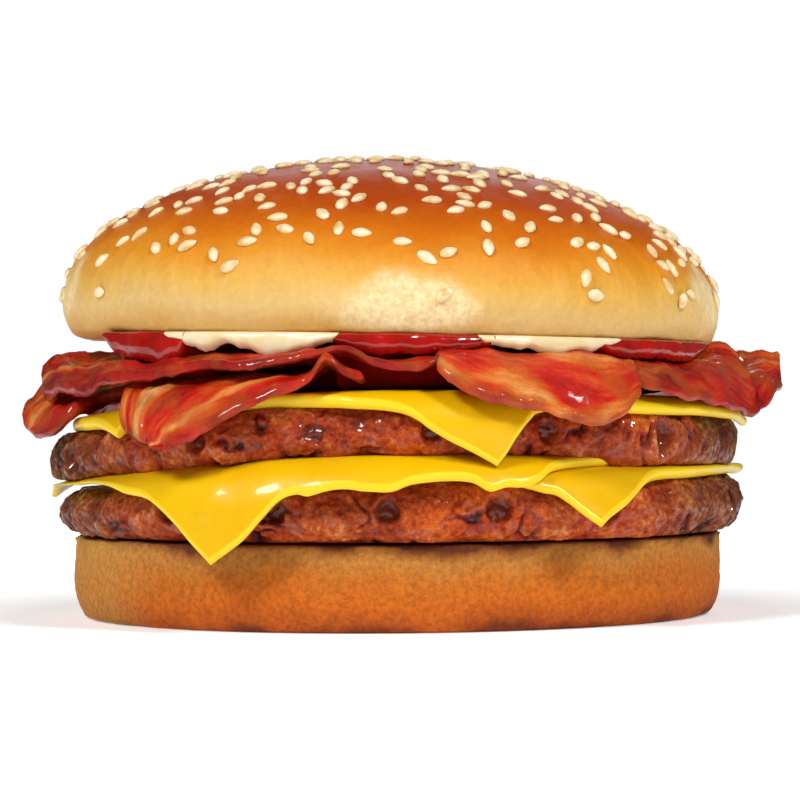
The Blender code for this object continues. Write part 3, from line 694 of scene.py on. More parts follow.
def make_strip(name, node_name, stations, low, salt, fat_lines, tone, crest, crinkle, blunt):
    """Stations along the strip in mm: one edge's x, y and lift, then the other edge's. Fat lines are
    (place across, half width, strength), tone how fatty the lean is. Crest is how far the strip is lifted
    over the rim, in mm, crinkle the strength of its ridges, and blunt how far its corners are rounded off."""
    rows = np.array(stations) / 1000.0
    fine = even_rows(rows, 400)
    middle_line = (fine[:, :2] + fine[:, 3:5]) / 2
    length = np.sum(np.linalg.norm(np.diff(middle_line, axis=0), axis=1))
    width = np.mean(np.linalg.norm(fine[:, :2] - fine[:, 3:5], axis=1))
    count = max(40, round(length / BACON_STEP))
    wide = max(24, round(width / BACON_STEP))
    fine = even_rows(rows, count + 1)
    u = np.linspace(0.0, 1.0, count + 1)
    v = np.linspace(0.0, 1.0, wide + 1)
    run = u * length
    line = np.stack([run, np.zeros_like(run), np.zeros_like(run)], axis=-1)
    ragged_a = 0.0010 * grain(line + 0.1, 0.0080, salt, 4) + 0.00022 * grain(line, 0.0011, salt + 11, 2)
    ragged_b = 0.0011 * grain(line + 0.3, 0.0080, salt + 1, 4) + 0.00022 * grain(line, 0.0011, salt + 12, 2)
    near_end = np.clip(1.0 - np.minimum(u, 1.0 - u) * length / 0.007, 0.0, 1.0)
    inset = blunt * near_end**2.2 * width
    first, other = fine[:, :2], fine[:, 3:5]
    aside = (other - first) / np.linalg.norm(other - first, axis=1)[:, None]
    first = first + aside * (inset + ragged_a)[:, None]
    other = other - aside * (inset + ragged_b)[:, None]
    flat = first[:, None, :] + (other - first)[:, None, :] * v[None, :, None]
    lift = fine[:, None, 2] + (fine[:, 5] - fine[:, 2])[:, None] * v[None, :]

    plane = np.stack(np.broadcast_arrays(run[:, None], v[None, :] * width, 0.0 * lift), axis=-1)
    reach = np.hypot(flat[..., 0], flat[..., 1])
    lift = lift + 0.001 * crest * np.exp(-(((reach - CREST_REACH) / 0.0050) ** 2))
    slope = run[:, None] + (v[None, :] - 0.5) * width * 0.35
    lift = lift + 0.0003 * (1.0 + np.sin(2 * math.pi * slope / WAVE_LENGTH + 0.4))
    bent = run[:, None] + 0.0035 * grain(plane, 0.013, salt + 3)
    ridges = 0.5 + 0.5 * np.sin(2 * math.pi * bent / RIDGE_LENGTH + 2.0 * grain(plane, 0.011, salt + 4))
    edge = np.minimum(v, 1.0 - v)[None, :] * width
    end = np.minimum(u, 1.0 - u)[:, None] * length
    near = np.minimum(edge, end)
    lift = lift + RIDGE_HEIGHT * crinkle * ridges * (0.35 + 0.65 * (1.0 - smooth(0.0, 0.008, edge)))
    curl = EDGE_CURL * (1.0 - smooth(0.0003, 0.0028, edge))
    lift = lift + 0.00050 * grain(plane, 0.0050, salt + 5, 4) + curl
    lift = lift + 0.00024 * grain(plane * np.array([0.5, 1.0, 1.0]), 0.0016, salt + 15, 3)

    pull = grain(plane * np.array([0.22, 1.0, 1.0]), 0.0050, salt + 6, 2)
    at = v[None, :] + 0.11 * grain(plane * np.array([0.6, 0.35, 1.0]), 0.010, salt + 7, 3)
    fat = np.zeros_like(lift)
    for place, half, strength in fat_lines:
        fat = np.maximum(fat, strength * np.exp(-(((at - place) / half) ** 2)))
    broken = smooth(-1.0, -0.1, grain(plane * np.array([0.5, 0.8, 1.0]), 0.0110, salt + 9, 2))
    patch = grain(plane * np.array([0.6, 1.0, 1.0]), 0.0075, salt + 10, 2)
    fat = np.clip(fat * broken * (0.85 + 0.3 * pull) + tone + 0.12 * pull + 0.26 * patch, 0.0, 1.0)
    seared = (1.0 - smooth(0.0002, 0.0022, near)) * (0.5 + grain(plane, 0.004, salt + 8, 2))
    crisp = np.clip(0.75 * seared, 0.0, 0.7)

    thin = BACON_THICKNESS * (0.80 + 0.20 * fat)
    rounded = np.sqrt(np.clip(1.0 - (1.0 - np.clip(near / 0.0008, 0.0, 1.0)) ** 2, 0.0, 1.0))
    half = 0.5 * thin * (0.12 + 0.88 * rounded)
    middle = low + BACON_THICKNESS / 2
    x, y = flat[..., 0], flat[..., 1]
    top = over_rim(BACON_COVER, BACON_DROOP, x, y, middle + lift + half, middle)
    bottom = over_rim(BACON_COVER, BACON_DROOP, x, y, middle + lift - half, middle)
    points = np.concatenate([top.reshape(-1, 3), bottom.reshape(-1, 3)])
    uv = np.stack(np.broadcast_arrays(run[:, None] / 0.01, v[None, :] * width / 0.01), axis=-1)
    uv = np.concatenate([uv.reshape(-1, 2)] * 2)
    values = {"fat": np.concatenate([fat.ravel()] * 2), "crisp": np.concatenate([crisp.ravel()] * 2)}
    row = wide + 1
    side = row * (count + 1)
    i, j = np.meshgrid(np.arange(count), np.arange(wide), indexing="ij")
    k = (i * row + j).ravel()
    faces = [np.stack([k, k + 1, k + row + 1, k + row], axis=1)]
    faces.append(np.stack([k, k + row, k + row + 1, k + 1], axis=1) + side)
    k = np.arange(count) * row
    faces.append(np.stack([k, k + row, k + row + side, k + side], axis=1))
    k = k + wide
    faces.append(np.stack([k + side, k + row + side, k + row, k], axis=1))
    k = np.arange(wide)
    faces.append(np.stack([k + side, k + 1 + side, k + 1, k], axis=1))
    k = k + count * row
    faces.append(np.stack([k, k + 1, k + 1 + side, k + side], axis=1))
    faces = np.concatenate(faces).tolist()
    return new_piece(name, points, faces, bacon, node_name, values, uv)


across = [
    (-62.0, -19.0, -0.7, -62.8, -6.5, 1.6), (-58.0, -25.0, -1.6, -59.5, -5.0, 2.0),
    (-53.4, -25.6, -1.2, -54.5, -4.0, 2.0),
    (-48.0, -21.0, 0.0, -49.0, -3.0, 1.4),
    (-36.0, -26.0, 0.0, -34.0, -1.0, 0.4), (-12.0, -20.0, 0.0, -10.0, 4.0, 0.0),
    (14.0, -17.0, 0.0, 14.0, 6.0, 0.0),
    (36.0, -17.0, 0.0, 34.0, 5.0, 0.2), (52.0, -16.0, 0.0, 50.0, 4.0, 2.8),
    (60.0, -14.0, 0.0, 59.1, 6.0, 5.4),
    (64.6, -9.5, 1.2, 64.0, 9.0, 6.2), (68.6, -3.6, 1.8, 68.4, 11.0, 6.4),
]
make_strip(
    "strip_across", "bacon_across", across, BACON_LEVEL_1, 101, [(0.62, 0.12, 0.5), (0.90, 0.06, 0.4)],
    0.30, 0.0, 0.7, 0.16,
)
front_left = [
    (-39.2, -58.6, 0.5, -44.6, -48.5, 0.5), (-36.0, -59.4, 0.8, -41.8, -38.0, 0.6),
    (-31.5, -60.0, 0.8, -34.0, -33.0, 0.6),
    (-24.6, -60.2, 0.4, -25.0, -32.5, 0.6), (-17.8, -60.4, 0.4, -18.0, -33.0, 0.6),
    (-13.2, -59.8, 0.8, -14.0, -33.5, 0.8),
    (-10.2, -59.0, 4.4, -11.0, -34.0, 1.2), (-7.4, -60.2, 1.9, -7.5, -34.5, 0.6),
    (-4.6, -61.5, 0.2, -3.0, -35.0, 0.0),
]
make_strip(
    "strip_front_left", "bacon_front_left", front_left, BACON_LEVEL_1, 111,
    [(0.17, 0.03, 0.6), (0.60, 0.15, 0.6), (0.90, 0.07, 0.5)], 0.34, 0.0, 0.35, 0.10,
)
front_right = [
    (7.0, -62.4, 1.0, 7.2, -35.0, 1.6), (11.0, -63.2, 0.9, 11.0, -34.0, 1.6),
    (17.3, -63.2, 0.8, 17.3, -33.0, 1.4),
    (25.6, -61.4, 0.8, 25.0, -30.0, 1.2), (32.2, -60.2, 0.8, 30.0, -28.0, 1.0),
    (37.2, -55.4, 0.6, 34.5, -26.0, 0.8),
    (40.0, -51.0, 0.8, 39.0, -26.0, 0.6),
]
make_strip(
    "strip_front_right", "bacon_front_right", front_right, BACON_LEVEL_1, 121,
    [(0.05, 0.06, 0.4), (0.33, 0.05, 0.35), (0.62, 0.04, 0.3), (0.93, 0.05, 0.3)], 0.40, 3.4, 0.5, 0.08,
)
rear = [
    (-56, 19, 0, -56, 41, 0), (-28, 22.5, 0, -28, 44.5, 0), (0, 24, 0, 0, 46, 0), (27, 24, 0, 27, 46, 0),
    (54, 23, 0, 54, 45, 0),
]
make_strip("strip_rear", "bacon_rear", rear, BACON_LEVEL_1, 131, [(0.4, 0.14, 0.6)], 0.34, 0.0, 1.0, 0.24)
top_left = [
    (-61.2, -13.0, -0.6, -60.0, -3.0, 0.4), (-54.8, -26.5, -1.4, -52.6, -5.0, 1.0),
    (-49.2, -35.8, -1.4, -44.0, -11.0, 1.3),
    (-39.6, -46.2, -0.6, -34.0, -17.0, 1.6), (-31.0, -52.0, -0.4, -27.0, -24.0, 1.4),
    (-22.7, -56.2, 0.0, -20.0, -28.0, 1.2),
    (-14.6, -57.8, 0.3, -13.0, -29.5, 1.1), (-7.4, -58.4, 0.4, -7.0, -30.2, 1.1),
    (-0.6, -60.4, -0.8, 0.0, -31.0, 1.0),
    (4.6, -61.0, -0.8, 5.0, -31.5, 1.0), (9.8, -59.2, 0.2, 9.6, -32.0, 1.0),
]
make_strip(
    "strip_top_left", "bacon_top_left", top_left, BACON_LEVEL_2, 141, [(0.40, 0.10, 0.6), (0.70, 0.10, 0.3)],
    0.28, 1.0, 0.25, 0.14,
)
top_right = [
    (36.8, -48.4, -0.6, 31.0, -24.0, 2.4), (44.2, -43.4, -0.9, 37.0, -19.0, 2.4),
    (50.6, -36.4, -1.0, 41.0, -14.0, 2.6),
    (57.8, -27.2, -1.2, 47.0, -9.0, 2.8), (62.0, -18.0, -0.4, 54.0, -4.0, 3.0),
    (64.0, -10.4, 0.8, 60.0, -2.0, 3.4),
]
make_strip(
    "strip_top_right", "bacon_top_right", top_right, BACON_LEVEL_1, 151,
    [(0.50, 0.14, 0.45), (0.86, 0.05, 0.4)],
    0.32, 3.2, 0.5, 0.14,
)
top_rear = [
    (-49, 12, 0, -49, 36, 0), (-24, 20.5, 0, -24, 44.5, 0), (0, 23, 0, 0, 47, 0), (24, 23, 0, 24, 47, 0),
    (47, 20, 0, 47, 44, 0),
]
make_strip(
    "strip_top_rear", "bacon_top_rear", top_rear, BACON_LEVEL_2, 161, [(0.5, 0.14, 0.6)], 0.34, 0.0, 1.0,
    0.24,
)


# SAUCES
# Tomato ketchup and mayonnaise, spread on the cut face of the top bun and pressed out under its rim in lobes
# when the bun was set down: the ketchup is thick, clear red and very glossy, the mayonnaise a pale cream.
KETCHUP_TOP = 0.0462
MAYONNAISE_TOP = 0.0471
CROWN_CENTRE_X = -0.0007
CROWN_BOTTOM = 0.0474
LIP = CROWN_BOTTOM + 0.0008
KETCHUP_SIZE = (KETCHUP_TOP, 0.0012, 0.0480, 0.0572, 0.0058)
MAYONNAISE_SIZE = (MAYONNAISE_TOP, 0.0004, 0.0470, 0.0574, 0.0)
KETCHUP_LOBES = [
    (-180, 0.0, 0.0), (-150, 0.1, 0.0), (-132, 0.8, 0.6), (-108, 0.0, 0.0), (-62, 0.0, 0.0), (-53, 0.8, 0.0),
    (-47, 0.95, 0.5), (-42, 1.0, 1.5), (-38, 0.9, 0.4), (-34, 0.0, 0.0), (-12, 0.0, 0.0), (-8, 0.7, -0.6),
    (-4, 1.0, 0.0), (3, 1.0, 0.3), (9, 1.0, -0.1), (15, 0.8, -0.7), (20, 0.0, -0.6), (33, 0.0, -0.5),
    (41, 0.9, 0.0), (60, 0.9, 0.2), (76, 0.3, 0.0), (110, 0.1, 0.0), (130, 0.8, 0.8),
]
MAYONNAISE_LOBES = [
    (-180, 0.8, 1.2), (-162, 0.7, 1.6), (-150, 0.0, 0.0), (-42, 0.0, 0.0), (-39, 0.7, 0.0), (-35, 0.9, 0.9),
    (-31, 0.95, 1.3), (-28, 0.85, 0.3), (-25, 0.9, 0.9), (-19.7, 1.0, 2.7), (-14, 0.95, 1.6),
    (-9.6, 0.8, 0.0),
    (-7, 0.0, 0.0), (13, 0.0, 0.0), (16, 0.8, 0.0), (20, 0.95, 0.8), (24, 0.95, 0.6), (28.7, 1.0, 1.9),
    (34, 0.95, 1.2), (39, 0.8, 0.2), (44, 0.0, 0.0), (86, 0.0, 0.0), (97, 0.8, 1.3), (112, 0.0, 0.0),
    (150, 0.0, 0.0),
]


def wet_sauce(name, deep, pale, depth, roughness):
    """A thick wet emulsion: smooth and glossy, light goes well into it."""
    sockets = {
        "Roughness": roughness, "Coat Weight": 0.6, "Coat Roughness": 0.06, "Subsurface Weight": 0.3,
        "Subsurface Radius": depth, "Subsurface Scale": 0.0020,
    }
    finish, tree, shader = new_finish(name, sockets)
    place = add(tree, "ShaderNodeTexCoord").outputs["Object"]
    cloud = add(tree, "ShaderNodeTexNoise", {"Vector": place, "Scale": 180.0, "Detail": 3.0}).outputs["Fac"]
    body = add(tree, "ShaderNodeValToRGB", {0: cloud}, [(0.35, deep), (0.65, pale)]).outputs["Color"]
    tree.links.new(body, shader.inputs["Base Color"])
    bump = add(tree, "ShaderNodeBump", {"Height": cloud, "Strength": 0.3, "Distance": 0.0008})
    tree.links.new(bump.outputs[0], shader.inputs["Normal"])
    return finish


red_sauce = wet_sauce("tomato_ketchup", "8E0A05", "B8160C", (1.0, 0.15, 0.08), 0.16)
cream_sauce = wet_sauce("mayonnaise", "E2CB96", "F2E2BC", (1.0, 0.8, 0.5), 0.28)


def make_sauce(name, node_name, size, lobes, finish, salt):
    """Size is the top, the thickness, the reach between and at the lobes, and how deep the middle is pressed
    in between the strips. Lobes are (azimuth, share of the way out, how far it hangs in mm)."""
    top, thick, inner, outer, fill = size
    columns = 1000
    azimuths = np.linspace(-180.0, 180.0, columns, endpoint=False)
    circle = np.stack([*polar(azimuths, 0.055), np.zeros(columns)], axis=-1)
    ragged = grain(circle, 0.0034, salt + 3, 3)
    push = np.clip(around([(a, out) for a, out, hang in lobes], azimuths), 0.0, 1.0)
    hang = 0.001 * around([(a, hang) for a, out, hang in lobes], azimuths) + 0.0006 * ragged * push
    reach = inner + (outer - inner) * smooth(0.0, 0.45, push)
    reach = reach + 0.0004 * grain(circle, 0.0060, salt + 4, 2) * push
    lip = LIP - top
    low = lip - (lip + thick + hang) * smooth(0.05, 0.92, push)
    low = np.minimum(low, lip - 0.0004)
    high = np.full_like(low, lip)
    rows = []
    for share in (0.3, 0.6, 0.8, 0.88, 0.93, 0.96):
        pressed = fill * (1.0 - float(smooth(0.86, 0.95, share)))
        rows.append((reach * share, -thick - pressed + (low + thick) * float(smooth(0.90, 1.0, share))))
    for turn in np.radians(np.linspace(-90.0, 90.0, 21)):
        out = reach - 0.0010 * (1.0 - math.cos(turn)) - 0.0006 * math.sin(turn) ** 2 * (turn < 0)
        rows.append((out, (low + high) / 2 + (high - low) / 2 * math.sin(turn)))
    for share in (0.96, 0.93, 0.88, 0.8, 0.6, 0.3):
        rows.append((reach * share, high * float(smooth(0.94, 1.0, share))))
    rings = []
    for k, (r, z) in enumerate(rows):
        x, y = polar(azimuths, r)
        at = np.stack([x, y, z], axis=-1)
        swell = 0.00035 * grain(at, 0.0045, salt, 2) * (1.0 if 6 <= k < len(rows) - 6 else 0.0)
        x, y = polar(azimuths, r + swell)
        rings.append(lean(np.stack([CROWN_CENTRE_X + x, y, top + z], axis=-1)))
    points = with_poles(np.array(rings))
    return new_piece(name, points, ring_faces(len(rows), columns), finish, node_name)


make_sauce("tomato_sauce", "ketchup", KETCHUP_SIZE, KETCHUP_LOBES, red_sauce, 201)
make_sauce("egg_sauce", "mayonnaise", MAYONNAISE_SIZE, MAYONNAISE_LOBES, cream_sauce, 211)


# TOP BUN
# The domed upper half, glazed with egg before baking: a shiny chestnut top that fades through orange to a
# pale, finely wrinkled skin at the rim, where the dough was shaded. Cream patches on the rim at the front,
# both sides and the back are painted highlight. It tips a little to the right.
CROWN_TOP = 0.0795
CROWN_PROFILE = [
    (0.0535, 0.0000), (0.0560, 0.0010), (0.0572, 0.0035), (0.0575, 0.0070), (0.0566, 0.0112),
    (0.0543, 0.0152),
    (0.0502, 0.0195), (0.0437, 0.0237), (0.0343, 0.0280), (0.0230, 0.0309), (0.0110, 0.0328),
    (0.0030, 0.0332),
]
CROWN_RISE = 0.0332
CROWN_UNEVEN = 0.010
DIMPLE_DEPTH = 0.00028
WRINKLE_HEIGHT = 0.00020
FOLD_DEPTH = 0.00045
CRACKLE_DEPTH = 0.00050
GROOVE_DEPTH = 0.0003
GROOVE_RISE = 0.0022
LIP_WAVE = 0.0006
# Patches of painted highlight on the rim: azimuth, spread, middle height, height and strength.
HIGHLIGHT_PATCHES = [
    (2.5, 12.0, 0.0050, 0.0048, 1.0), (-78.0, 13.0, 0.0080, 0.0070, 0.7), (74.0, 12.0, 0.0085, 0.0080, 0.8),
    (165.0, 30.0, 0.0080, 0.0060, 0.7),
]


def glazed_crust():
    """Egg-glazed crust: chestnut at the top with a thin hard gloss, pale, wrinkled and satin at the rim, with
    cream patches of painted highlight.
    """
    sockets = {
        "Specular IOR Level": 0.16, "Subsurface Weight": 0.12, "Subsurface Radius": (1.0, 0.5, 0.25),
        "Subsurface Scale": 0.0025,
    }
    finish, tree, shader = new_finish("egg_glazed_crust", sockets)
    place = add(tree, "ShaderNodeTexCoord").outputs["Object"]
    pale = add(tree, "ShaderNodeAttribute", attribute_name="pale").outputs["Fac"]
    axes = add(tree, "ShaderNodeSeparateXYZ", {0: place})
    tipped = add(
        tree, "ShaderNodeMath", {0: axes.outputs["X"], 1: 0.045, 2: axes.outputs["Z"]},
        operation="MULTIPLY_ADD",
    ).outputs[0]
    patches = add(
        tree, "ShaderNodeTexNoise", {"Vector": place, "Scale": 45.0, "Detail": 4.0, "Roughness": 0.6}
    )
    moved = add(
        tree, "ShaderNodeMath", {0: patches.outputs["Fac"], 1: 0.009, 2: tipped},
        operation="MULTIPLY_ADD",
    )
    share = add(tree, "ShaderNodeMapRange", {0: moved.outputs[0], 1: 0.0515, 2: 0.0850}).outputs[0]
    stops = [
        (0.0, "D6A04E"), (0.14, "E2BC78"), (0.27, "E4B050"), (0.40, "E29222"), (0.54, "D4700E"),
        (0.70, "B84606"), (1.0, "923004"),
    ]
    baked = add(tree, "ShaderNodeValToRGB", {0: share}, stops).outputs["Color"]
    fine = add(
        tree, "ShaderNodeTexNoise", {"Vector": place, "Scale": 900.0, "Detail": 5.0, "Roughness": 0.65}
    )
    # Cream where the pale attribute is high: painted highlight.
    cream = add(tree, "ShaderNodeValToRGB", {0: fine.outputs["Fac"]}, [(0.36, "EFCF92"), (0.62, "F8E4B4")])
    highlighted = add(
        tree, "ShaderNodeMix", {0: pale, 6: baked, 7: cream.outputs["Color"]}, data_type="RGBA"
    ).outputs[2]
    speck = add(
        tree, "ShaderNodeValToRGB", {0: fine.outputs["Fac"]}, [(0.3, 0.88), (0.7, 1.0)]
    ).outputs["Color"]
    tinted = add(
        tree, "ShaderNodeMix", {0: 1.0, 6: highlighted, 7: speck}, data_type="RGBA", blend_type="MULTIPLY"
    )
    tree.links.new(tinted.outputs[2], shader.inputs["Base Color"])
    gloss = add(tree, "ShaderNodeValToRGB", {0: share}, [(0.1, 0.55), (0.6, 0.34)]).outputs["Color"]
    tree.links.new(gloss, shader.inputs["Roughness"])
    wrinkled = add(
        tree, "ShaderNodeTexNoise", {"Vector": place, "Scale": 380.0, "Detail": 7.0, "Roughness": 0.70}
    )
    depth = add(tree, "ShaderNodeMapRange", {0: share, 1: 0.5, 2: 0.05, 3: 0.18, 4: 0.75}).outputs[0]
    bump = add(
        tree, "ShaderNodeBump",
        {"Height": wrinkled.outputs["Fac"], "Strength": depth, "Distance": 0.0006},
    )
    tree.links.new(bump.outputs[0], shader.inputs["Normal"])
    return finish


def crown_point(azimuth, radius, rise):
    """Place on the dome for an azimuth, a profile radius and a profile height, each an array."""
    x, y = polar(azimuth, radius)
    x, y, rise = np.broadcast_arrays(x, y, rise)
    uneven = 1.0 + CROWN_UNEVEN * rough(np.stack([x, y, rise], axis=-1), 0.045, 8.0)
    high = CROWN_BOTTOM + rise * (CROWN_TOP - CROWN_BOTTOM) / CROWN_RISE
    return lean(np.stack([CROWN_CENTRE_X + x * uneven, y * uneven, high], axis=-1))


crust = glazed_crust()
columns = 840
under = np.array([(0.020, 0.0), (0.040, 0.0)])
profile = np.vstack([under, even_rows(CROWN_PROFILE, 105)])
azimuths = np.linspace(-180.0, 180.0, columns, endpoint=False)
skin = crown_point(azimuths[None, :], profile[:, :1], profile[:, 1:])
outward = skin - np.array([0.0, 0.0, 0.035])
outward /= np.linalg.norm(outward, axis=-1)[..., None]
high = profile[:, 1:]
kept = smooth(0.0002, 0.0012, high)
rim = (1.0 - smooth(0.0090, 0.0220, high)) * kept
spot = grain(skin, 0.0075, 74, 3)
# The pale attribute marks the patches of painted highlight.
front = np.zeros_like(spot)
for azimuth, spread, middle, tall, strength in HIGHLIGHT_PATCHES:
    aside = ((azimuths[None, :] - azimuth) / spread) ** 2
    front = np.maximum(front, strength * np.exp(-aside - ((high - middle) / tall) ** 2))
pale = 0.85 * smooth(0.20, 0.80, front + 0.35 * spot) * kept
wrinkle = grain(skin * np.array([1.0, 1.0, 0.8]), 0.0042, 71, 4)
fold = -np.abs(grain(skin * np.array([1.0, 1.0, 0.45]), 0.0085, 72, 3))
crackle = -np.abs(grain(skin, 0.0022, 75, 3))
dimple = DIMPLE_DEPTH * grain(skin, 0.012, 73, 2) * kept
groove = np.exp(-(((high - GROOVE_RISE - 0.0005 * grain(skin, 0.020, 76)) / 0.0007) ** 2))
groove *= smooth(-0.2, 0.4, wrinkle + spot)
lifted = dimple + rim * (WRINKLE_HEIGHT * wrinkle + FOLD_DEPTH * fold)
lifted += pale * (CRACKLE_DEPTH * crackle + 0.0002) - GROOVE_DEPTH * groove
skin = skin + outward * lifted[..., None]
wavy = LIP_WAVE * grain(skin * np.array([1.0, 1.0, 0.0]), 0.0130, 77, 3)
wavy *= 1.0 - smooth(0.0004, 0.0040, high)
skin[..., 2] += wavy * smooth(0.046, 0.053, profile[:, :1])
values = {"pale": np.concatenate([[0.0], pale.ravel(), [0.0]])}
new_piece(
    "bun_top", with_poles(skin), ring_faces(len(profile), columns), crust, "crown", values
)


# SESAME SEEDS
# Hulled white sesame, stuck to the glaze before baking: cream teardrops about 3.4 mm long, thick at one end,
# toasted a little at the tips. They lie flat on the dome, dense on top and sparse towards the rim.
SEED_LENGTH = 0.0034
SEED_WIDTH = 0.0020
SEED_HEIGHT = 0.0013
SEED_COUNT = 106
SEED_SPACING = 0.0078
EXTRA_SEEDS = 300
EXTRA_SPACING = 0.0027
SEED_SINK = 0.00025


def toasted_sesame():
    """Hulled sesame: satin cream, darker where the oven toasted it, slightly translucent."""
    sockets = {
        "Roughness": 0.42, "Subsurface Weight": 0.25, "Subsurface Radius": (1.0, 0.7, 0.4),
        "Subsurface Scale": 0.0010,
    }
    finish, tree, shader = new_finish("toasted_sesame", sockets)
    place = add(tree, "ShaderNodeTexCoord").outputs["Object"]
    tone = add(tree, "ShaderNodeTexNoise", {"Vector": place, "Scale": 420.0, "Detail": 2.0}).outputs["Fac"]
    stops = [(0.30, "DDB474"), (0.48, "F0D6A4"), (0.66, "F8E8C6")]
    body = add(tree, "ShaderNodeValToRGB", {0: tone}, stops).outputs["Color"]
    tree.links.new(body, shader.inputs["Base Color"])
    fine = add(tree, "ShaderNodeTexNoise", {"Vector": place, "Scale": 2400.0, "Detail": 2.0}).outputs["Fac"]
    bump = add(tree, "ShaderNodeBump", {"Height": fine, "Strength": 0.2, "Distance": 0.0002})
    tree.links.new(bump.outputs[0], shader.inputs["Normal"])
    return finish


def dome_place(azimuth, share):
    """Surface point, its normal and its profile radius. Share is 0 at the top, 1 at the widest ring."""
    rings = [(0.0, CROWN_RISE)] + CROWN_PROFILE[10:1:-1]
    lengths = [0.0]
    for (r0, z0), (r1, z1) in zip(rings, rings[1:]):
        lengths.append(lengths[-1] + math.hypot(r1 - r0, z1 - z0))
    at = share * lengths[-1]

    def point(angle, distance):
        distance = min(max(distance, 0.0), lengths[-1])
        r = np.interp(distance, lengths, [p[0] for p in rings])
        z = np.interp(distance, lengths, [p[1] for p in rings])
        return Vector(crown_point(np.array(angle), np.array(r), np.array(z)).tolist()), r

    here, radius = point(azimuth, at)
    down = point(azimuth, at + 0.002)[0] - point(azimuth, at - 0.002)[0]
    side = point(azimuth + 2.0, at)[0] - point(azimuth - 2.0, at)[0]
    return here, down.cross(side).normalized(), radius


def seed_places():
    """The solids' own seeds, the largest first, then more and smaller ones between them."""
    pick = random.Random(SEED)
    found = []
    while len(found) < SEED_COUNT + EXTRA_SEEDS:
        extra = len(found) >= SEED_COUNT
        azimuth = pick.uniform(-180.0, 180.0)
        share = pick.uniform(0.03, 0.95 if extra else 0.86)
        keep = pick.random()
        turn = pick.uniform(0.0, math.pi)
        if extra and pick.random() < 0.45:
            near = pick.choice(found)
            azimuth = near[4] + pick.uniform(-5.0, 5.0)
            share = near[5] + pick.uniform(-0.06, 0.06)
            keep = 0.0
        place, normal, radius = dome_place(azimuth, share)
        if keep > radius / 0.0574:
            continue
        dense = 1.0 - float(smooth(0.46, 0.96, share)) * (0.68 if place.x < 0.02 else 0.50)
        if extra and pick.random() > dense:
            continue
        spacing = EXTRA_SPACING if extra else SEED_SPACING
        if all((place - other[0]).length > spacing for other in found):
            size = 0.95 + 0.14 * pick.random() if extra else 1.06 - 0.16 * len(found) / SEED_COUNT
            found.append((place, normal, turn, size, azimuth, share))
    return found


def seed_shape():
    """One teardrop seed that lies along X, a few dozen faces."""
    shape = bmesh.new()
    bmesh.ops.create_uvsphere(shape, u_segments=8, v_segments=6, radius=0.5)
    for vert in shape.verts:
        length_share = vert.co.z * 2.0
        narrow = 1.0 - 0.42 * max(0.0, length_share) ** 1.3
        px, py = vert.co.x * narrow, vert.co.y * narrow
        vert.co = Vector((length_share / 2 * SEED_LENGTH, px * SEED_WIDTH, py * SEED_HEIGHT))
    mesh = bpy.data.meshes.new("seed_shape")
    bmesh.ops.recalc_face_normals(shape, faces=shape.faces)
    shape.to_mesh(mesh)
    shape.free()
    mesh.shade_smooth()
    return bpy.data.objects.new("seed_shape", mesh)


def seed_tree(shape, finish):
    """Puts a seed on every point, turned to the point's own normal and heading."""
    tree = bpy.data.node_groups.new("scatter_seeds", "GeometryNodeTree")
    tree.interface.new_socket("Geometry", in_out="INPUT", socket_type="NodeSocketGeometry")
    size = tree.interface.new_socket("Size", in_out="INPUT", socket_type="NodeSocketFloat")
    sink = tree.interface.new_socket("Sink", in_out="INPUT", socket_type="NodeSocketFloat")
    tree.interface.new_socket("Geometry", in_out="OUTPUT", socket_type="NodeSocketGeometry")
    given = add(tree, "NodeGroupInput").outputs
    facing = add(
        tree, "GeometryNodeInputNamedAttribute", {"Name": "facing"}, data_type="FLOAT_VECTOR"
    ).outputs[0]
    heading = add(
        tree, "GeometryNodeInputNamedAttribute", {"Name": "heading"}, data_type="FLOAT_VECTOR"
    ).outputs[0]
    scale = add(tree, "GeometryNodeInputNamedAttribute", {"Name": "scale"}, data_type="FLOAT").outputs[0]
    up = add(tree, "FunctionNodeAlignRotationToVector", {"Vector": facing}, axis="Z")
    turned = add(
        tree, "FunctionNodeAlignRotationToVector", {"Rotation": up.outputs[0], "Vector": heading},
        axis="X", pivot_axis="Z",
    )
    one = add(tree, "GeometryNodeObjectInfo", {"Object": shape, "As Instance": True}).outputs["Geometry"]
    jitter = add(
        tree, "FunctionNodeRandomValue", {2: 0.94, 3: 1.06, "Seed": SEED}, data_type="FLOAT"
    ).outputs[1]
    both = add(tree, "ShaderNodeMath", {0: scale, 1: jitter}, operation="MULTIPLY").outputs[0]
    final = add(tree, "ShaderNodeMath", {0: both, 1: given["Size"]}, operation="MULTIPLY").outputs[0]
    lower = add(
        tree, "ShaderNodeVectorMath", {0: facing, "Scale": given["Sink"]}, operation="SCALE"
    ).outputs[0]
    placed = add(tree, "GeometryNodeSetPosition", {"Geometry": given["Geometry"], "Offset": lower})
    put = add(
        tree, "GeometryNodeInstanceOnPoints",
        {"Points": placed.outputs[0], "Instance": one, "Rotation": turned.outputs[0], "Scale": final},
    )
    real = add(tree, "GeometryNodeRealizeInstances", {"Geometry": put.outputs[0]})
    soft = add(tree, "GeometryNodeSetShadeSmooth", {"Geometry": real.outputs[0]})
    dressed = add(tree, "GeometryNodeSetMaterial", {"Geometry": soft.outputs[0], "Material": finish})
    add(tree, "NodeGroupOutput", {"Geometry": dressed.outputs[0]})
    return tree, size.identifier, sink.identifier


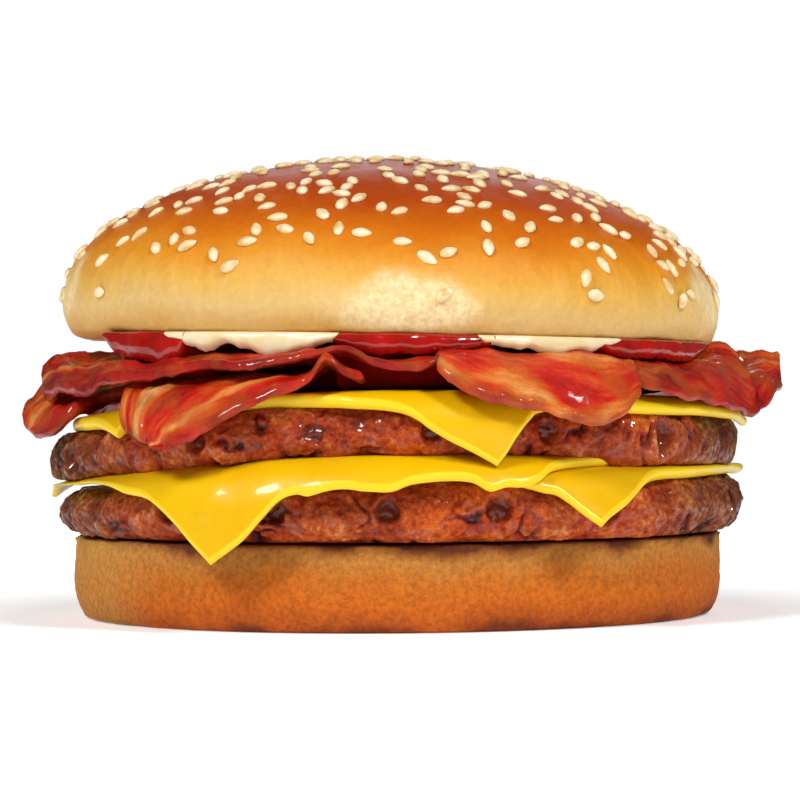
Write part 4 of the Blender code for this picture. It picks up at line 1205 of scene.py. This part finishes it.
sesame = toasted_sesame()
places = seed_places()
points = bpy.data.meshes.new("seed_points")
points.from_pydata([p[0] for p in places], [], [])
facing = np.array([p[1] for p in places])
heading = []
for place, normal, turn, size, azimuth, share in places:
    along = normal.orthogonal().normalized()
    heading.append(along * math.cos(turn) + normal.cross(along) * math.sin(turn))
points.attributes.new("facing", "FLOAT_VECTOR", "POINT").data.foreach_set("vector", facing.ravel())
heading = np.array(heading).ravel()
points.attributes.new("heading", "FLOAT_VECTOR", "POINT").data.foreach_set("vector", heading)
points.attributes.new("scale", "FLOAT", "POINT").data.foreach_set("value", [p[3] for p in places])
seed_points = bpy.data.objects.new("seed_points", points)
bpy.context.scene.collection.objects.link(seed_points)
one_seed = seed_shape()
tree, size_socket, sink_socket = seed_tree(one_seed, sesame)
scatter = seed_points.modifiers.new("scatter", "NODES")
scatter.node_group = tree
scatter[size_socket] = 1.0
scatter[sink_socket] = SEED_SINK
graph = bpy.context.evaluated_depsgraph_get()
mesh = bpy.data.meshes.new_from_object(seed_points.evaluated_get(graph))
seed_points.modifiers.clear()
bpy.data.objects.remove(seed_points, do_unlink=True)
bpy.data.objects.remove(one_seed, do_unlink=True)
seeds = bpy.data.objects.new("sesame_seeds", mesh)
bpy.context.scene.collection.objects.link(seeds)
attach(seeds, "root")
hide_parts("crown")


# TABLE, LIGHT AND CAMERA
# A pale seamless table and soft studio lamps: one to the front left, one to the front right, a faint broad
# one behind and above that rims the glaze. The camera stands level with the middle of the stack.
TABLE_RADIUS = 0.50
TABLE_SIDES = 120
SENSOR = 36.0
FOCAL_PIXELS = 3402.0
PICTURE_PIXELS = 800.0
floor_mesh = bpy.data.meshes.new("table")
angles = [math.radians(360 / TABLE_SIDES * k) for k in range(TABLE_SIDES)]
rim = [(TABLE_RADIUS * math.cos(a), TABLE_RADIUS * math.sin(a), 0.0) for a in angles]
floor_mesh.from_pydata(rim, [], [tuple(range(TABLE_SIDES))])
floor = bpy.data.objects.new("table", floor_mesh)
bpy.context.scene.collection.objects.link(floor)
sockets = {
    "Base Color": (0.93, 0.93, 0.93, 1.0), "Roughness": 0.9, "Emission Color": (1.0, 1.0, 1.0, 1.0),
}
paper, tree, shader = new_finish("pale_table", sockets)
place = add(tree, "ShaderNodeTexCoord").outputs["Object"]
away = add(tree, "ShaderNodeVectorMath", {0: place}, operation="LENGTH").outputs["Value"]
glow = add(tree, "ShaderNodeMapRange", {0: away, 1: 0.066, 2: 0.15, 3: 0.30, 4: 1.0}).outputs[0]
mirrored = add(tree, "ShaderNodeLightPath").outputs["Is Glossy Ray"]
dimmed = add(tree, "ShaderNodeMapRange", {0: mirrored, 3: 1.0, 4: 0.1}).outputs[0]
shown = add(tree, "ShaderNodeMath", {0: glow, 1: dimmed}, operation="MULTIPLY").outputs[0]
tree.links.new(shown, shader.inputs["Emission Strength"])
floor_mesh.materials.append(paper)

world = bpy.data.worlds.new("studio")
world.use_nodes = True
bpy.context.scene.world = world
tree = world.node_tree
back = tree.nodes["Background"]
seen = add(tree, "ShaderNodeLightPath").outputs["Is Camera Ray"]
power = add(tree, "ShaderNodeMapRange", {0: seen, 3: 0.07, 4: 1.0}).outputs[0]
back.inputs["Color"].default_value = (1.0, 1.0, 1.0, 1.0)
tree.links.new(power, back.inputs["Strength"])


def lamp(name, place, aim, size, power):
    """A round soft lamp that faces its aim."""
    light = bpy.data.lights.new(name, "AREA")
    light.shape = "DISK"
    light.size = size
    light.energy = power
    holder = bpy.data.objects.new(name, light)
    bpy.context.scene.collection.objects.link(holder)
    holder.location = place
    holder.rotation_euler = (Vector(aim) - Vector(place)).to_track_quat("-Z", "Y").to_euler()
    return holder


lamp("lamp_left", (-1.25, -1.40, 1.85), (0.0, 0.0, 0.03), 0.60, 40.0)
lamp("lamp_right", (1.25, -1.40, 1.85), (0.0, 0.0, 0.03), 0.60, 38.0)
lamp("lamp_back", (0.10, 2.00, 0.85), (0.0, 0.0, 0.06), 0.80, 2.0)

camera_data = bpy.data.cameras.new("camera")
camera_data.sensor_width = SENSOR
camera_data.lens = FOCAL_PIXELS / PICTURE_PIXELS * SENSOR
camera_data.clip_start = 0.01
camera = bpy.data.objects.new("camera", camera_data)
bpy.context.scene.collection.objects.link(camera)
camera.location = (0.0009, -0.6, 0.0375)
camera.rotation_euler = (math.radians(90.0), math.radians(0.45), 0.0)
bpy.context.scene.camera = camera
bpy.context.scene.view_settings.view_transform = "Standard"
